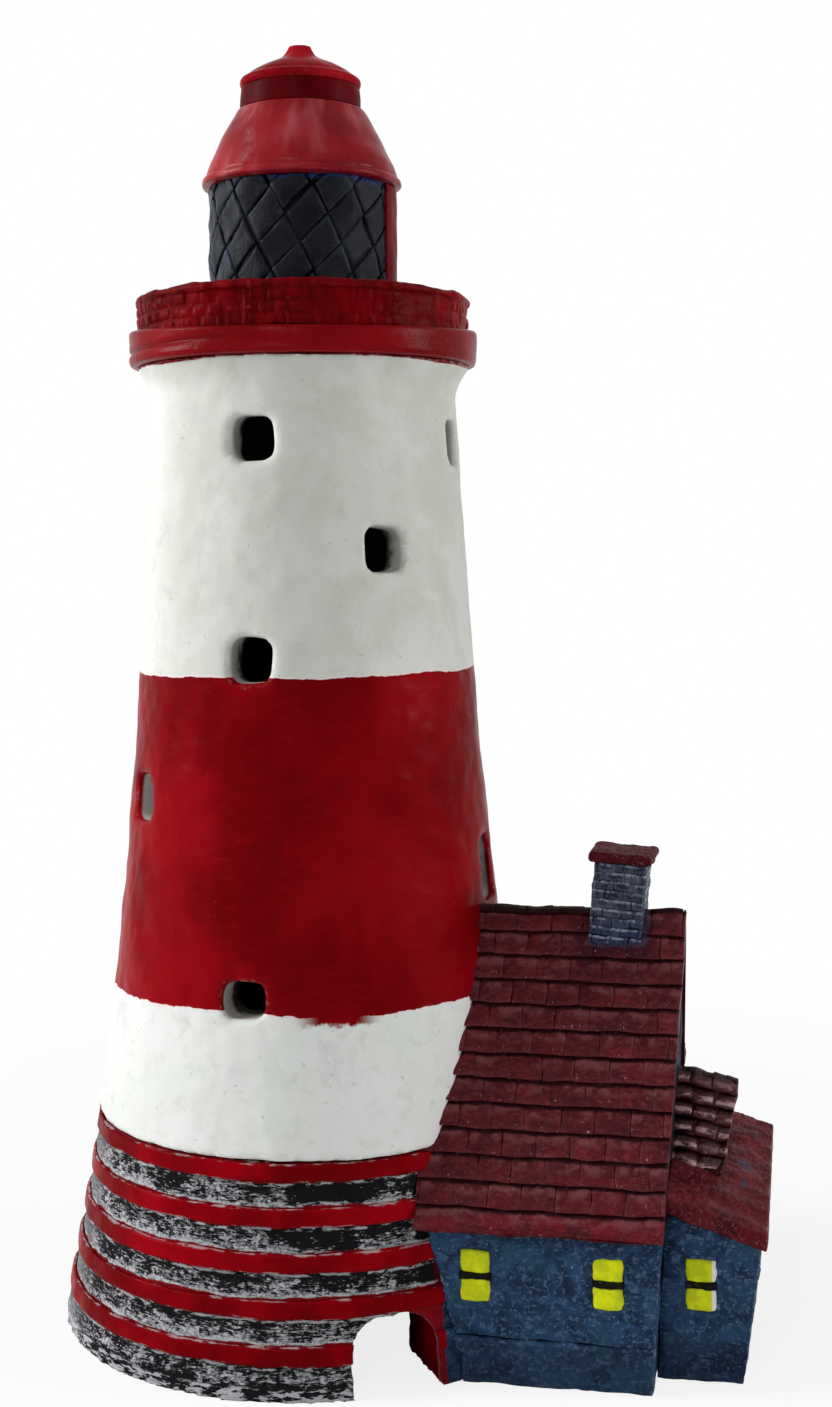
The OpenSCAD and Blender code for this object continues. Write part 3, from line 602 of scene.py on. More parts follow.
@dataclass(frozen=True)
class StoneFoot(Finish):
    """Black stone, dry-brushed with white, under red rings whose paint runs over its edges."""

    black: Colour = (0.008, 0.008, 0.010)
    white: Colour = (0.62, 0.63, 0.66)
    grey: Colour = (0.21, 0.21, 0.225)
    smooth_low: Colour = (0.13, 0.13, 0.14)
    smooth_high: Colour = (0.36, 0.37, 0.39)
    red: Colour = (0.21, 0.0012, 0.005)
    red_deep: Colour = (0.13, 0.0006, 0.0025)
    # Painted shade deep in the arch's jamb.
    red_shade: Colour = (0.012, 0.0001, 0.0004)
    bare: Colour = (0.12, 0.115, 0.11)
    bare_pale: Colour = (0.2, 0.19, 0.18)
    first_mm: float = 7.5
    pitch_mm: float = 9.55
    ring_mm: float = 4.25
    foot_r_mm: float = 61.0
    rings: bool = False

    def paint(self, g: Graph) -> Surface:
        """Returns the paint of the stone, or of the rings where rings is set."""
        place = g.place()
        mm, z, az = place.mm, place.height, place.azimuth
        skin = g.use(Effect.CAST_SKIN, lumps=0.25, grain=0.05, pits=0.1)
        marks = g.use(Effect.BRUSH_MARKS, along=6.0, scale=1.2)
        wave = (mm.noise(0.11, 4.0, 0.62) - 0.5) * 2.4
        shifted = z - (self.first_mm + self.ring_mm / 2) + wave
        turns = shifted / self.pitch_mm
        over = (turns - g.math("ROUND", turns)) * self.pitch_mm
        away = abs(over)
        half = self.ring_mm / 2 + (1.1 if self.rings else 0.15)
        lowest = -self.pitch_mm / 2
        ring = away.ease(half + 0.14, half - 0.14) * shifted.ease(lowest, lowest + 0.1)
        front = az.ease(140.0, 132.0)
        near_cottage = (az + wave * 2.0).ease(42.5, 44.5) * front
        low_red = az.ease(33.0, 34.0) * (z + wave).ease(20.5, 19.5) * front
        plain = near_cottage | low_red
        covered = ring | plain
        brush = g.use(Effect.DRY_BRUSH, cover=self.cover(place, front, over), streak=3.6, scale=2.1)
        fleck = place.wrapped.stretched(0.4, 1.0, 1.0).noise(0.7, 4.0, 0.7).ease(0.48, 0.54)
        near, far = (1.65, 2.0) if self.rings else (half + 0.75, half + 0.3)
        hair = away.ease(near, far) * (fleck * (1.0 - plain))
        brushed = g.mix(mm.noise(1.1, 4.0, 0.65).ease(0.38, 0.62), self.grey, self.white)
        stone = Coat(g, self.black).lay(brush.paint, brushed)
        smooth = az.ease(-44.0, -66.0, 0.0, 0.75) * az.ease(-125.0, -90.0)
        stone.lay(smooth, g.mix(brush.relief, self.smooth_low, self.smooth_high)).lay(hair * 0.85, self.white)
        red = Coat(g, self.red_deep).lay(marks.depth.ease(0.35, 0.65), self.red)
        if self.rings:
            red.lay(hair * 0.4, self.white)
        inset = self.foot_r_mm - z * 0.215 - place.radius
        # Painted shade: the red darkens deeper in the arch's jamb.
        red.lay(low_red * inset.ease(5.0, 17.0, 0.0, 0.85), self.red_shade)
        coat = Coat(g, stone.colour).lay(covered, red.colour)
        coat.lay(self.wall_blue(place, wave, inset), g.use(Effect.SLATE_COAT).colour)
        inner = place.radius.ease(low_red.between(42.0, 39.9), low_red.between(40.4, 39.6))
        coat.lay(inner, g.mix(mm.noise(0.5, 4.0), self.bare, self.bare_pale))
        relief = covered.between(brush.relief, 0.5) * 0.9 + skin.height
        matt = (low_red * inset.ease(1.0, 3.0)).between(self.shine, 0.0)
        return Surface(coat.colour, covered.between(0.75, self.gloss), relief, matt)

    def wall_blue(self, place: SimpleNamespace, wave: Value, inset: Value) -> Value:
        """Returns the mask of the cottage's blue paint on the foot beside its wall."""
        z, az = place.height, place.azimuth
        beside = (az - (z * z * 0.0034 + wave * 0.25)).ease(43.3, 43.9) * az.ease(137.0, 135.0)
        return beside * ((z + wave).ease(35.5, 34.5) * inset.ease(4.0, 3.0))

    def cover(self, place: SimpleNamespace, front: Value, over: Value) -> Value:
        """Returns how much white the brush left: a little more just above each ring, less near the floor, and
        less under each ring and beside the cottage as painted shadow.
        """
        z, az = place.height, place.azimuth
        cover = place.wrapped.noise(0.07, 2.0, 0.5).ease(0.34, 0.5, 0.42, 0.5)
        cover = cover - abs(az - 19.0).ease(14.0, 5.0) * z.ease(18.0, 34.0) * 0.12
        cover = cover + over.ease(4.2, 2.0) * over.ease(0.0, 1.0, 0.0, 0.12)
        # Painted shadow: less white under the ring above.
        cover = cover - over.ease(-4.6, -2.6) * over.ease(0.0, -1.0, 0.0, 0.07)
        cover = cover - z.ease(4.4, 1.8) * az.ease(-62.0, -36.0, 0.0, 0.4)
        # Painted shadow: less white beside the cottage.
        return cover - az.ease(38.5, 41.0) * front * 0.4


@dataclass(frozen=True)
class LanternNavy(Finish):
    """Navy-black gloss of the lantern's diamonds, with black lines, a blue touch under the roof and a painted
    reflection on the left diamonds.
    """

    face: Colour = (0.006, 0.0065, 0.010)
    face_worn: Colour = (0.014, 0.016, 0.023)
    face_dark: Colour = (0.0035, 0.004, 0.006)
    pale: Colour = (0.05, 0.06, 0.085)
    # Painted reflection: the paler blue-grey of the diamonds on the left side.
    bloom: Colour = (0.05, 0.06, 0.082)
    nick: Colour = (0.22, 0.24, 0.28)
    # Painted shade for deep corners.
    hollow: Colour = (0.0015, 0.0015, 0.002)
    line: Colour = (0.002, 0.002, 0.003)
    blue: Colour = (0.014, 0.024, 0.085)
    lip_mm: float = 265.9

    def paint(self, g: Graph) -> Surface:
        """Returns the navy paint."""
        place = g.place()
        marks = g.use(Effect.BRUSH_MARKS, along=1.5, scale=2.5)
        skin = g.use(Effect.CAST_SKIN, lumps=0.2, grain=0.03, pits=0.04, size=0.8)
        wear_and_shade = g.use(Effect.WORN_EDGE, start=0.51, full=0.57, ragged=0.2)
        tone = g.tone()
        coat = Coat(g, self.face).lay(marks.depth.ease(0.45, 0.8), self.face_worn)
        # Paler rubbed edges, and painted shade in the hollows.
        coat.lay(wear_and_shade.edge * 0.35, self.pale).lay(wear_and_shade.hollow, self.hollow)
        coat.lay(tone.ease(0.3, 1.0, 0.5, 0.0), self.face_dark)
        # Painted reflection on the left side's diamonds, broken by streaks.
        streak = place.wrapped.stretched(1.0, 1.0, 0.5).noise(0.35, 4.0, 0.65).ease(0.42, 0.6)
        bloom = streak * tone.ease(0.3, 0.9, 0.35, 0.85)
        coat.lay(place.azimuth.ease(-12.0, -34.0) * bloom, self.bloom)
        coat.lay(place.mm.noise(0.8, 4.0, 0.7).ease(0.70, 0.74) * 0.5, self.nick)
        coat.lay(tone.ease(0.1, 0.05), self.line)
        under = place.height + place.mm.noise(0.25, 3.0) * 3.0
        touch = under.ease(self.lip_mm + 1.5, self.lip_mm + 2.1) * place.azimuth.ease(-12.0, 4.0)
        coat.lay(touch, self.blue)
        rough = marks.stroke.between(self.gloss - 0.1, self.gloss + 0.15)
        return Surface(coat.colour, rough, skin.height + marks.stroke * 0.08)


@dataclass(frozen=True)
class SlateWall(Finish):
    """Slate-blue walls, mottled with lighter dabs, with painted shade darkening their hollows and a gable
    painted nearly black as painted shade.
    """

    edge: Colour = (0.22, 0.28, 0.38)
    # Painted shade for deep corners.
    hollow: Colour = (0.002, 0.004, 0.01)
    # Painted shade: the near-black over the gable above the eaves.
    gable: Colour = (0.006, 0.007, 0.014)
    gable_x_mm: float = AXIS_MM + 84.0
    gable_z_mm: float = 37.0

    def paint(self, g: Graph) -> Surface:
        """Returns the wall paint."""
        slate = g.use(Effect.SLATE_COAT)
        skin = g.use(Effect.CAST_SKIN, lumps=0.45, grain=0.06, pits=0.12, size=0.8)
        wear_and_shade = g.use(Effect.WORN_EDGE, start=0.53, full=0.62, ragged=0.25)
        mm = g.place().mm
        x, _, z = mm.split()
        # Painted shade: above the eaves the gable is painted nearly black.
        ragged = z + mm.noise(0.4, 3.0, 0.6) * 4.0
        gable_painted_shade = ragged.ease(self.gable_z_mm, self.gable_z_mm + 1.5, 0.0, 0.85)
        gable_painted_shade = gable_painted_shade * x.ease(self.gable_x_mm, self.gable_x_mm + 0.6)
        # Paler rubbed edges, and painted shade in the hollows.
        coat = Coat(g, slate.colour).lay(wear_and_shade.edge * 0.55, self.edge).lay(wear_and_shade.hollow * 0.9, self.hollow)
        rough = slate.dabs.ease(0.3, 0.7, self.gloss + 0.12, self.gloss - 0.08)
        relief = skin.height + slate.strokes * 0.3
        return Surface(coat.lay(gable_painted_shade, self.gable).colour, rough, relief, gable_painted_shade.between(self.shine, 0.0))


@dataclass(frozen=True)
class MaroonTile(Finish):
    """Maroon roof tiles with glossy specks, a painted shadow line under each course and brighter red along
    the lower edges.
    """

    body: Colour = (0.088, 0.0095, 0.012)
    shade: Colour = (0.055, 0.007, 0.01)
    light: Colour = (0.15, 0.027, 0.031)
    dark: Colour = (0.022, 0.0012, 0.002)
    bright: Colour = (0.145, 0.007, 0.011)
    edge: Colour = (0.2, 0.05, 0.055)
    speck: Colour = (0.42, 0.27, 0.28)
    tile_dark: Colour = (0.05, 0.004, 0.007)
    # Painted shade on the tiles round the stack's foot.
    stack_foot_shade: Colour = (0.022, 0.003, 0.012)
    # Painted highlight on each tile's top.
    worn_top: Colour = (0.175, 0.05, 0.056)
    # Painted shadow on the tops of glossy tiles.
    tile_top_shadow: Colour = (0.014, 0.001, 0.002)
    # Painted shadow: the dark line under the next course.
    lap_painted_shadow: Colour = (0.016, 0.0006, 0.0014)
    joint: Colour = (0.02, 0.001, 0.002)
    # Painted highlight on glossy tiles.
    painted_sheen: Colour = (0.44, 0.27, 0.28)
    # Painted glints near the foot of each tile.
    lower_edge_glint: Colour = (0.5, 0.36, 0.36)
    navy: Colour = (0.008, 0.012, 0.03)
    navy_pale: Colour = (0.055, 0.07, 0.12)
    slab: Colour = (0.052, 0.007, 0.01)
    dab: Colour = (0.05, 0.05, 0.075)
    blue_patches: bool = False
    laid: bool = False
    # How strong the painted highlight and shadow of glossy tiles are; 0 leaves them out, and the joints are
    # darker.
    painted_gloss_light: float = 0.0
    stack_x_mm: float = AXIS_MM + 75.4
    stack_y_mm: float = -6.8
    dabs_mm: tuple[Triple, ...] = ((79.2, -5.0, 2.6), (79.5, -13.5, 1.9))
    stroke: Triple = (0.6, 1.0, 1.0)
    fleck: float = 0.7

    def paint(self, g: Graph) -> Surface:
        """Returns the tile paint."""
        place = g.place()
        mm = place.mm
        skin = g.use(Effect.CAST_SKIN, lumps=0.3, grain=0.05, pits=0.1, size=0.7)
        wear_and_shade = g.use(Effect.WORN_EDGE, start=0.53, full=0.6, ragged=0.16)
        brush = mm.stretched(*self.stroke).noise(1.1, 5.0, 0.72)
        speck = mm.noise(1.5, 3.0, 0.6).ease(self.fleck, self.fleck + 0.06)
        coat = Coat(g, self.shade).lay(mm.noise(0.14, 3.0, 0.6, 0.5).ease(0.35, 0.68), self.body)
        coat.lay(brush.ease(0.48, 0.7) * 0.8, self.light).lay(brush.ease(0.46, 0.32) * 0.6, self.dark)
        coat.lay(place.height.ease(42.0, 33.5) * mm.noise(0.12, 3.0).ease(0.40, 0.6), self.bright)
        # Paler rubbed edges, and painted shade in the hollows.
        coat.lay(wear_and_shade.edge * 0.45, self.edge).lay(wear_and_shade.hollow * 0.92, self.dark)
        coat.lay(speck * 0.35, self.speck)
        if self.laid:
            self.add_laps(g, mm, coat)
        if self.blue_patches:
            self.add_patches(g, mm, coat)
        rough = brush.between(self.gloss + 0.14, self.gloss - 0.06) - speck * 0.2
        return Surface(coat.colour, rough, skin.height + brush * 0.26)

    def add_laps(self, g: Graph, mm: Value, coat: Coat) -> None:
        """Lays each tile's own tone and, as painted light, shade round the stack's foot, a highlight on its
        top (on glossy tiles a shadow there), a highlight lower down, glints near its foot and a shadow line
        under the next course.
        """
        tone = g.tone()
        across, up = g.patch()
        lift = up + (mm.noise(0.35, 3.0, 0.6) - 0.5) * 0.22
        sides = abs(across - 0.5)
        coat.lay(tone.ease(0.25, 1.0, 0.4, 0.0), self.tile_dark)
        # Painted shade round the stack's foot.
        stack_shade_reach = self.round_stack(mm, 0.0, 1.0, mm.noise(0.25, 3.0) * 7.0)
        coat.lay(stack_shade_reach.ease(9.5, 4.0, 0.0, 0.65), self.stack_foot_shade)
        # Painted highlight on each tile's top, broken by noise.
        coat.lay(lift.ease(0.3, 0.66) * mm.noise(0.3, 3.0).ease(0.42, 0.62) * 0.75, self.worn_top)
        if self.painted_gloss_light:
            # Painted shadow over the top of each glossy tile.
            coat.lay(lift.ease(0.42, 0.66, 0.0, 0.75), self.tile_top_shadow)
        # Painted shadow line under the next course.
        coat.lay(lift.ease(0.72, 0.83), self.lap_painted_shadow)
        notch = mm.noise(0.4, 3.0, 0.6).ease(0.46, 0.6, 0.15, 0.45 if self.painted_gloss_light else 0.8)
        coat.lay(sides.ease(0.47, 0.497) * notch, self.joint)
        if self.painted_gloss_light:
            # Painted highlight across the lower middle of each glossy tile.
            middle = sides.ease(0.49, 0.42, 0.5, 1.0) * (up.ease(0.1, 0.24) * up.ease(0.5, 0.38))
            broken = mm.stretched(0.5, 0.5, 1.0).noise(0.45, 4.0, 0.7).ease(0.44, 0.54)
            coat.lay(middle * broken * tone.ease(0.25, 0.7, 0.15, self.painted_gloss_light), self.painted_sheen)
        # Painted glints near the foot of each tile.
        lower_edge_glint = mm.noise(1.2, 3.0, 0.65).ease(0.66, 0.7) * lift.ease(0.3, 0.1, 0.25, 1.0)
        coat.lay(lower_edge_glint * 0.6, self.lower_edge_glint)
        skirt = self.round_stack(mm, 0.2, 2.5, mm.noise(0.4, 4.0, 0.65) * 4.0)
        drips = g.mix(mm.noise(0.9, 4.0, 0.7), self.navy, self.navy_pale)
        coat.lay(skirt.ease(2.9, 2.0, 0.0, 0.8), drips)
        coat.lay(tone.ease(0.1, 0.05), self.slab)

    def round_stack(self, mm: Value, shift: float, weight: float, ragged: Value) -> Value:
        """Returns how far a point lies from the stack's foot, in millimetres.

        Args:
            mm: the point's place.
            shift: moves the foot along the ridge.
            weight: how much the distance down the slope counts.
            ragged: what is added so that the rim wanders.

        Returns:
            The distance.
        """
        x, y, _ = mm.split()
        beside = abs(x - (self.stack_x_mm + shift)) - 6.0 | 0.0
        below = abs(y - self.stack_y_mm) - 7.0 | 0.0
        return beside + below * weight + ragged

    def add_patches(self, g: Graph, mm: Value, coat: Coat) -> None:
        """Dabs wall paint over the roof beside the dormer."""
        x, y, _ = mm.split()
        for centre_x, centre_y, size in self.dabs_mm:
            dx = x - centre_x
            dy = (y - centre_y) * 0.5
            away = g.math("SQRT", dx * dx + dy * dy) + mm.noise(0.5, 4.0, 0.7) * 3.0
            coat.lay(away.ease(size + 0.9, size) * 0.7, self.dab)


@dataclass(frozen=True)
class BlueBrick(Finish):
    """Blue-grey chimney bricks, paler on their faces than in their joints."""

    face: Colour = (0.013, 0.018, 0.045)
    shade: Colour = (0.012, 0.017, 0.036)
    brick_dark: Colour = (0.012, 0.016, 0.032)
    bloom: Colour = (0.055, 0.068, 0.095)
    pale: Colour = (0.12, 0.135, 0.19)
    foot: Colour = (0.02, 0.03, 0.085)
    lit_top: Colour = (0.3, 0.33, 0.42)
    fleck: Colour = (0.19, 0.215, 0.29)
    joint: Colour = (0.007, 0.009, 0.018)

    def paint(self, g: Graph) -> Surface:
        """Returns the brick paint."""
        place = g.place()
        mm = place.mm
        skin = g.use(Effect.CAST_SKIN, lumps=0.2, grain=0.06, pits=0.08, size=0.5)
        wear_and_shade = g.use(Effect.WORN_EDGE, start=0.515, full=0.56, ragged=0.15)
        tone = g.tone()
        _, up = g.patch()
        coat = Coat(g, self.shade).lay(mm.noise(0.45, 3.0, 0.6).ease(0.4, 0.6), self.face)
        coat.lay(mm.noise(0.17, 3.0, 0.6, 0.6).ease(0.5, 0.62, 0.0, 0.45), self.bloom)
        coat.lay(wear_and_shade.edge * 0.6, self.pale).lay(place.height.ease(101.0, 96.0) * 0.55, self.foot)
        coat.lay(tone.ease(0.2, 1.0, 0.5, 0.0), self.brick_dark)
        coat.lay(up.ease(0.6, 0.85) * mm.noise(0.6, 4.0, 0.7).ease(0.46, 0.56) * 0.8, self.lit_top)
        coat.lay(mm.noise(1.1, 4.0, 0.7).ease(0.6, 0.66, 0.0, 0.5), self.fleck)
        return Surface(coat.lay(tone.ease(0.1, 0.05), self.joint).colour, self.gloss, skin.height)


@dataclass(frozen=True)
class YellowPane(Finish):
    """Bright yellow window paint, greener where it is thin, with white and black touches at its rim."""

    body: Colour = (0.72, 0.78, 0.008)
    thin: Colour = (0.52, 0.59, 0.012)
    rim: Colour = (0.012, 0.016, 0.01)
    touch: Colour = (0.8, 0.8, 0.74)
    white_side: float = 0.0

    def paint(self, g: Graph) -> Surface:
        """Returns the window paint."""
        mm = g.place().mm
        skin = g.use(Effect.CAST_SKIN, lumps=0.3, grain=0.04, pits=0.05, size=0.6)
        across, up = g.patch()
        rag = (mm.noise(0.9, 4.0, 0.7) - 0.5) * 0.5
        edge = abs(across * 2.0 - 1.0) | abs(up * 2.0 - 1.0)
        coat = Coat(g, self.thin).lay(mm.noise(0.35, 3.0).ease(0.38, 0.66), self.body)
        coat.lay((edge + rag).ease(0.97, 1.07) * 0.85, self.rim)
        coat.lay((across + rag * 0.35).ease(1.0 - self.white_side, 1.04 - self.white_side), self.touch)
        return Surface(coat.colour, self.gloss, skin.height)


@dataclass(frozen=True)
class BlackTouch(Finish):
    """Black paint of the glazing bars, with a dry brown edge."""

    body: Colour = (0.006, 0.006, 0.004)
    dry: Colour = (0.05, 0.05, 0.012)

    def paint(self, g: Graph) -> Surface:
        """Returns the black paint."""
        skin = g.use(Effect.CAST_SKIN, lumps=0.2, grain=0.08, pits=0.05, size=0.4)
        coat = Coat(g, self.body).lay(g.place().mm.noise(1.2, 4.0, 0.7).ease(0.55, 0.7), self.dry)
        return Surface(coat.colour, self.gloss, skin.height)


class PaintShelf:
    """Every finish of the ornament, built once."""

    def __init__(self) -> None:
        """Builds the shared effects."""
        self.effects = SharedEffects()
        self.made: dict[Finish, bpy.types.Material] = {}

    def take(self, finish: Finish) -> bpy.types.Material:
        """Returns the material of a finish, built on its first use."""
        if finish not in self.made:
            self.made[finish] = finish.build(self.effects)
        return self.made[finish]


RED = RedGloss("red_gloss_paint", gloss=0.28, shine=0.035, body=(0.205, 0.0022, 0.006),
               deep=(0.12, 0.0006, 0.002))
RED_DARK = RedGloss("red_gloss_paint_dark", gloss=0.42, shine=0.02, body=(0.105, 0.001, 0.003),
                    deep=(0.05, 0.0003, 0.001))
RED_WALL = RedGloss("red_parapet_paint", gloss=0.34, shine=0.014, body=(0.205, 0.002, 0.005),
                    deep=(0.07, 0.0005, 0.0015), wear=-0.3, streaks=True)
RED_PANEL = RedGloss("red_panel_paint", gloss=0.36, shine=0.012, body=(0.152, 0.003, 0.007),
                     deep=(0.08, 0.001, 0.003))
RED_WORN = RedGloss("red_gloss_paint_worn", gloss=0.26, shine=0.05, body=(0.29, 0.014, 0.02),
                    deep=(0.15, 0.003, 0.007), thin=(0.43, 0.1, 0.12), wear=-0.1, bloom=0.5)
# On the cap, the pale rubbed edges of the lip are wear and also painted glints.
RED_CAP = RedGloss("red_cap_paint", gloss=0.2, shine=0.006, body=(0.34, 0.008, 0.015),
                   deep=(0.17, 0.002, 0.005), thin=(0.52, 0.17, 0.18), wear=-0.05)
STRIPES = ShaftStripes("striped_paint", gloss=0.3, shine=0.02)
STONE = StoneFoot("dry_brushed_stone", gloss=0.3, shine=0.05)
RINGS = StoneFoot("ring_paint", gloss=0.3, shine=0.014, red=(0.262, 0.0008, 0.005), rings=True)
NAVY = LanternNavy("navy_gloss_paint", gloss=0.3, shine=0.05)
SLATE = SlateWall("slate_blue_paint", gloss=0.42, shine=0.06)
MAROON = MaroonTile("maroon_tile_paint", gloss=0.42, shine=0.012, body=(0.08, 0.006, 0.01),
                    light=(0.15, 0.025, 0.035), stroke=(1.0, 0.5, 1.0), fleck=0.62)
MAROON_TILES = MaroonTile("maroon_roof_paint", gloss=0.36, shine=0.06, body=(0.118, 0.0105, 0.0135),
                          light=(0.19, 0.031, 0.036), laid=True)
MAROON_WING = MaroonTile("maroon_wing_paint", gloss=0.32, shine=0.02, relief_mm=0.2,
                         body=(0.14, 0.015, 0.021), light=(0.22, 0.05, 0.06), bright=(0.11, 0.009, 0.013),
                         blue_patches=True, stroke=(1.2, 0.35, 1.0), fleck=0.64)
MAROON_GLOSS = MaroonTile("maroon_gloss_paint", gloss=0.16, shine=0.2, body=(0.05, 0.008, 0.01),
                          light=(0.12, 0.045, 0.05), laid=True, painted_gloss_light=0.95)
BRICK = BlueBrick("blue_brick_paint", gloss=0.4, shine=0.06)
YELLOW = YellowPane("yellow_window_paint", gloss=0.3, shine=0.06)
YELLOW_WHITE = YellowPane("yellow_window_paint_white_side", gloss=0.3, shine=0.06, white_side=0.17)
BLACK = BlackTouch("black_touch_paint", gloss=0.4, shine=0.05)


# Meshes


def linked(name: str, data: bpy.types.ID) -> Thing:
    """Returns a new object of a mesh, a lamp or a camera, linked to the scene."""
    made = bpy.data.objects.new(name, data)
    bpy.context.scene.collection.objects.link(made)
    return made


def mesh_object(name: str, points: Sequence[Sequence[float]], faces: Sequence[Sequence[int]]) -> Thing:
    """Returns a linked object of a new mesh, at the origin.

    Args:
        name: the object's name.
        points: vertex places in metres.
        faces: vertex numbers of each face.

    Returns:
        The object.
    """
    mesh = bpy.data.meshes.new(name)
    mesh.from_pydata([tuple(point) for point in points], [], [tuple(face) for face in faces])
    mesh.update()
    return linked(name, mesh)


def written(name: str, built: bmesh.types.BMesh) -> Thing:
    """Returns a linked object of what a mesh editor holds, and closes the editor."""
    mesh = bpy.data.meshes.new(name)
    built.to_mesh(mesh)
    built.free()
    return linked(name, mesh)


@contextmanager
def edited(mesh: bpy.types.Mesh) -> Iterator[bmesh.types.BMesh]:
    """Opens a mesh for editing and writes it back at the end."""
    built = bmesh.new()
    built.from_mesh(mesh)
    yield built
    built.to_mesh(mesh)
    built.free()


def copy_of(node: str, name: str) -> Thing:
    """Returns a copy of a CAD node's mesh under a new name, with its doubled vertices merged."""
    built = bmesh.new()
    built.from_mesh(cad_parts[node].data)
    bmesh.ops.remove_doubles(built, verts=built.verts, dist=2e-6)
    return written(name, built)


def joined(name: str, parts: Sequence[Thing]) -> Thing:
    """Returns one object that holds the meshes of several, which are removed."""
    built = bmesh.new()
    for part in parts:
        built.from_mesh(part.data)
    made = written(name, built)
    for part in parts:
        mesh = part.data
        bpy.data.objects.remove(part)
        bpy.data.meshes.remove(mesh)
    return made


def settled(thing: Thing) -> Thing:
    """Turns what an object's modifiers make into its plain mesh, removes them and returns the object."""
    bpy.context.view_layer.update()
    graph = bpy.context.evaluated_depsgraph_get()
    mesh = bpy.data.meshes.new_from_object(thing.evaluated_get(graph), depsgraph=graph)
    old = thing.data
    thing.modifiers.clear()
    thing.data = mesh
    bpy.data.meshes.remove(old)
    return thing


def close_holes(built: bmesh.types.BMesh, edges: list[bmesh.types.BMEdge]) -> None:
    """Fills the holes that lie between edges."""
    if edges:
        bmesh.ops.holes_fill(built, edges=edges, sides=0)


def slice_off(built: bmesh.types.BMesh, place: Vector, keep: Vector) -> None:
    """Cuts a mesh by a plane, keeps the side that keep points to and closes the cut."""
    geometry = built.verts[:] + built.edges[:] + built.faces[:]
    cut = bmesh.ops.bisect_plane(built, geom=geometry, plane_co=place, plane_no=-keep, clear_outer=True)
    close_holes(built, [item for item in cut["geom_cut"] if isinstance(item, bmesh.types.BMEdge)])


def cut_off(thing: Thing, planes: Sequence[tuple[Vector, Vector]]) -> None:
    """Cuts an object off at planes, each a place and the direction of what stays."""
    with edited(thing.data) as built:
        for place, keep in planes:
            slice_off(built, place, keep)


def array_of(items: bpy.types.bpy_prop_collection, name: str) -> np.ndarray:
    """Returns a vector that each item of a mesh has as one array with a row for each item."""
    flat = np.empty(len(items) * 3, np.float32)
    items.foreach_get(name, flat)
    return flat.reshape(-1, 3)


@dataclass(frozen=True)
class Casting:
    """Turns crisp solids into one soft, hand-finished casting."""

    voxel_mm: float = 0.6
    soften: int = 3
    lump_mm: float = 0.15
    lump_size_mm: float = 7.0
    grain_mm: float = 0.0
    grain_size_mm: float = 1.6
    drift_mm: float = 0.0
    drift_size_mm: float = 5.0
    seed: float = 0.0

    def work(self, thing: Thing) -> Thing:
        """Remeshes, softens and roughens an object and returns it."""
        remesh = thing.modifiers.new("remesh", "REMESH")
        remesh.mode = "VOXEL"
        remesh.voxel_size = self.voxel_mm * MM
        remesh.adaptivity = 0.0
        smooth = thing.modifiers.new("soften", "SMOOTH")
        smooth.factor = 0.5
        smooth.iterations = self.soften
        return self.roughen(settled(thing))

    def roughen(self, thing: Thing) -> Thing:
        """Moves vertices along their normals by slow lumps and finer grain, and sideways by a drift."""
        mesh = thing.data
        places = array_of(mesh.vertices, "co")
        push = self.wander(noise.noise, places, self.lump_size_mm) * self.lump_mm
        if self.grain_mm:
            push += self.wander(noise.noise, places, self.grain_size_mm) * self.grain_mm
        places = places + array_of(mesh.vertex_normals, "vector") * (push * MM)[:, None]
        if self.drift_mm:
            drift = self.wander(noise.noise_vector, places, self.drift_size_mm)
            places = places + drift * (self.drift_mm * MM)
        places = np.clip(places, np.array(CAD_BOX[0]), np.array(CAD_BOX[1]))
        mesh.vertices.foreach_set("co", places.astype(np.float32).ravel())
        mesh.update()
        return thing

    def wander(self, pattern: Callable, places: np.ndarray, size_mm: float) -> np.ndarray:
        """Returns a noise at each place, with waves of a size."""
        scaled = places * (1 / MM / size_mm) + self.seed
        return np.array([pattern(place) for place in scaled.tolist()])


def turned_size(low: Vector, high: Vector) -> Triple:
    """Returns the foot, the top and the radius of a turned piece's box, in millimetres."""
    return low.z / MM, high.z / MM, (high.x - low.x) / 2 / MM


def lathe(name: str, outline: Outline, steps: int, wobble_mm: float = 0.0, seed: float = 0.0) -> Thing:
    """Returns an outline turned round the tower's axis.

    Args:
        name: the object's name.
        outline: radius and height of each point in millimetres, from the foot to the top on the axis.
        steps: points round the axis.
        wobble_mm: how far the radius wanders.
        seed: shifts the wander.

    Returns:
        The closed, turned object.
    """
    points: list[Triple] = []
    rings: list[list[int]] = []
    for radius, height in outline:
        if radius <= 0:
            rings.append([len(points)])
            points.append((AXIS, 0.0, height * MM))
            continue
        rings.append(list(range(len(points), len(points) + steps)))
        for i in range(steps):
            turn = 2 * math.pi * i / steps
            at = Vector((math.cos(turn) * 2.2 + seed, math.sin(turn) * 2.2, height * 0.21))
            r = (radius + noise.noise(at) * wobble_mm) * MM
            points.append((AXIS + r * math.sin(turn), -r * math.cos(turn), height * MM))
    faces: list[tuple[int, ...]] = []
    for below, above in zip(rings, rings[1:]):
        for i in range(steps):
            j = (i + 1) % steps
            if len(below) == 1 and len(above) > 1:
                faces.append((below[0], above[j], above[i]))
            elif len(above) == 1 and len(below) > 1:
                faces.append((below[i], below[j], above[0]))
            elif len(below) > 1:
                faces.append((below[i], below[j], above[j], above[i]))
    return mesh_object(name, points, faces)


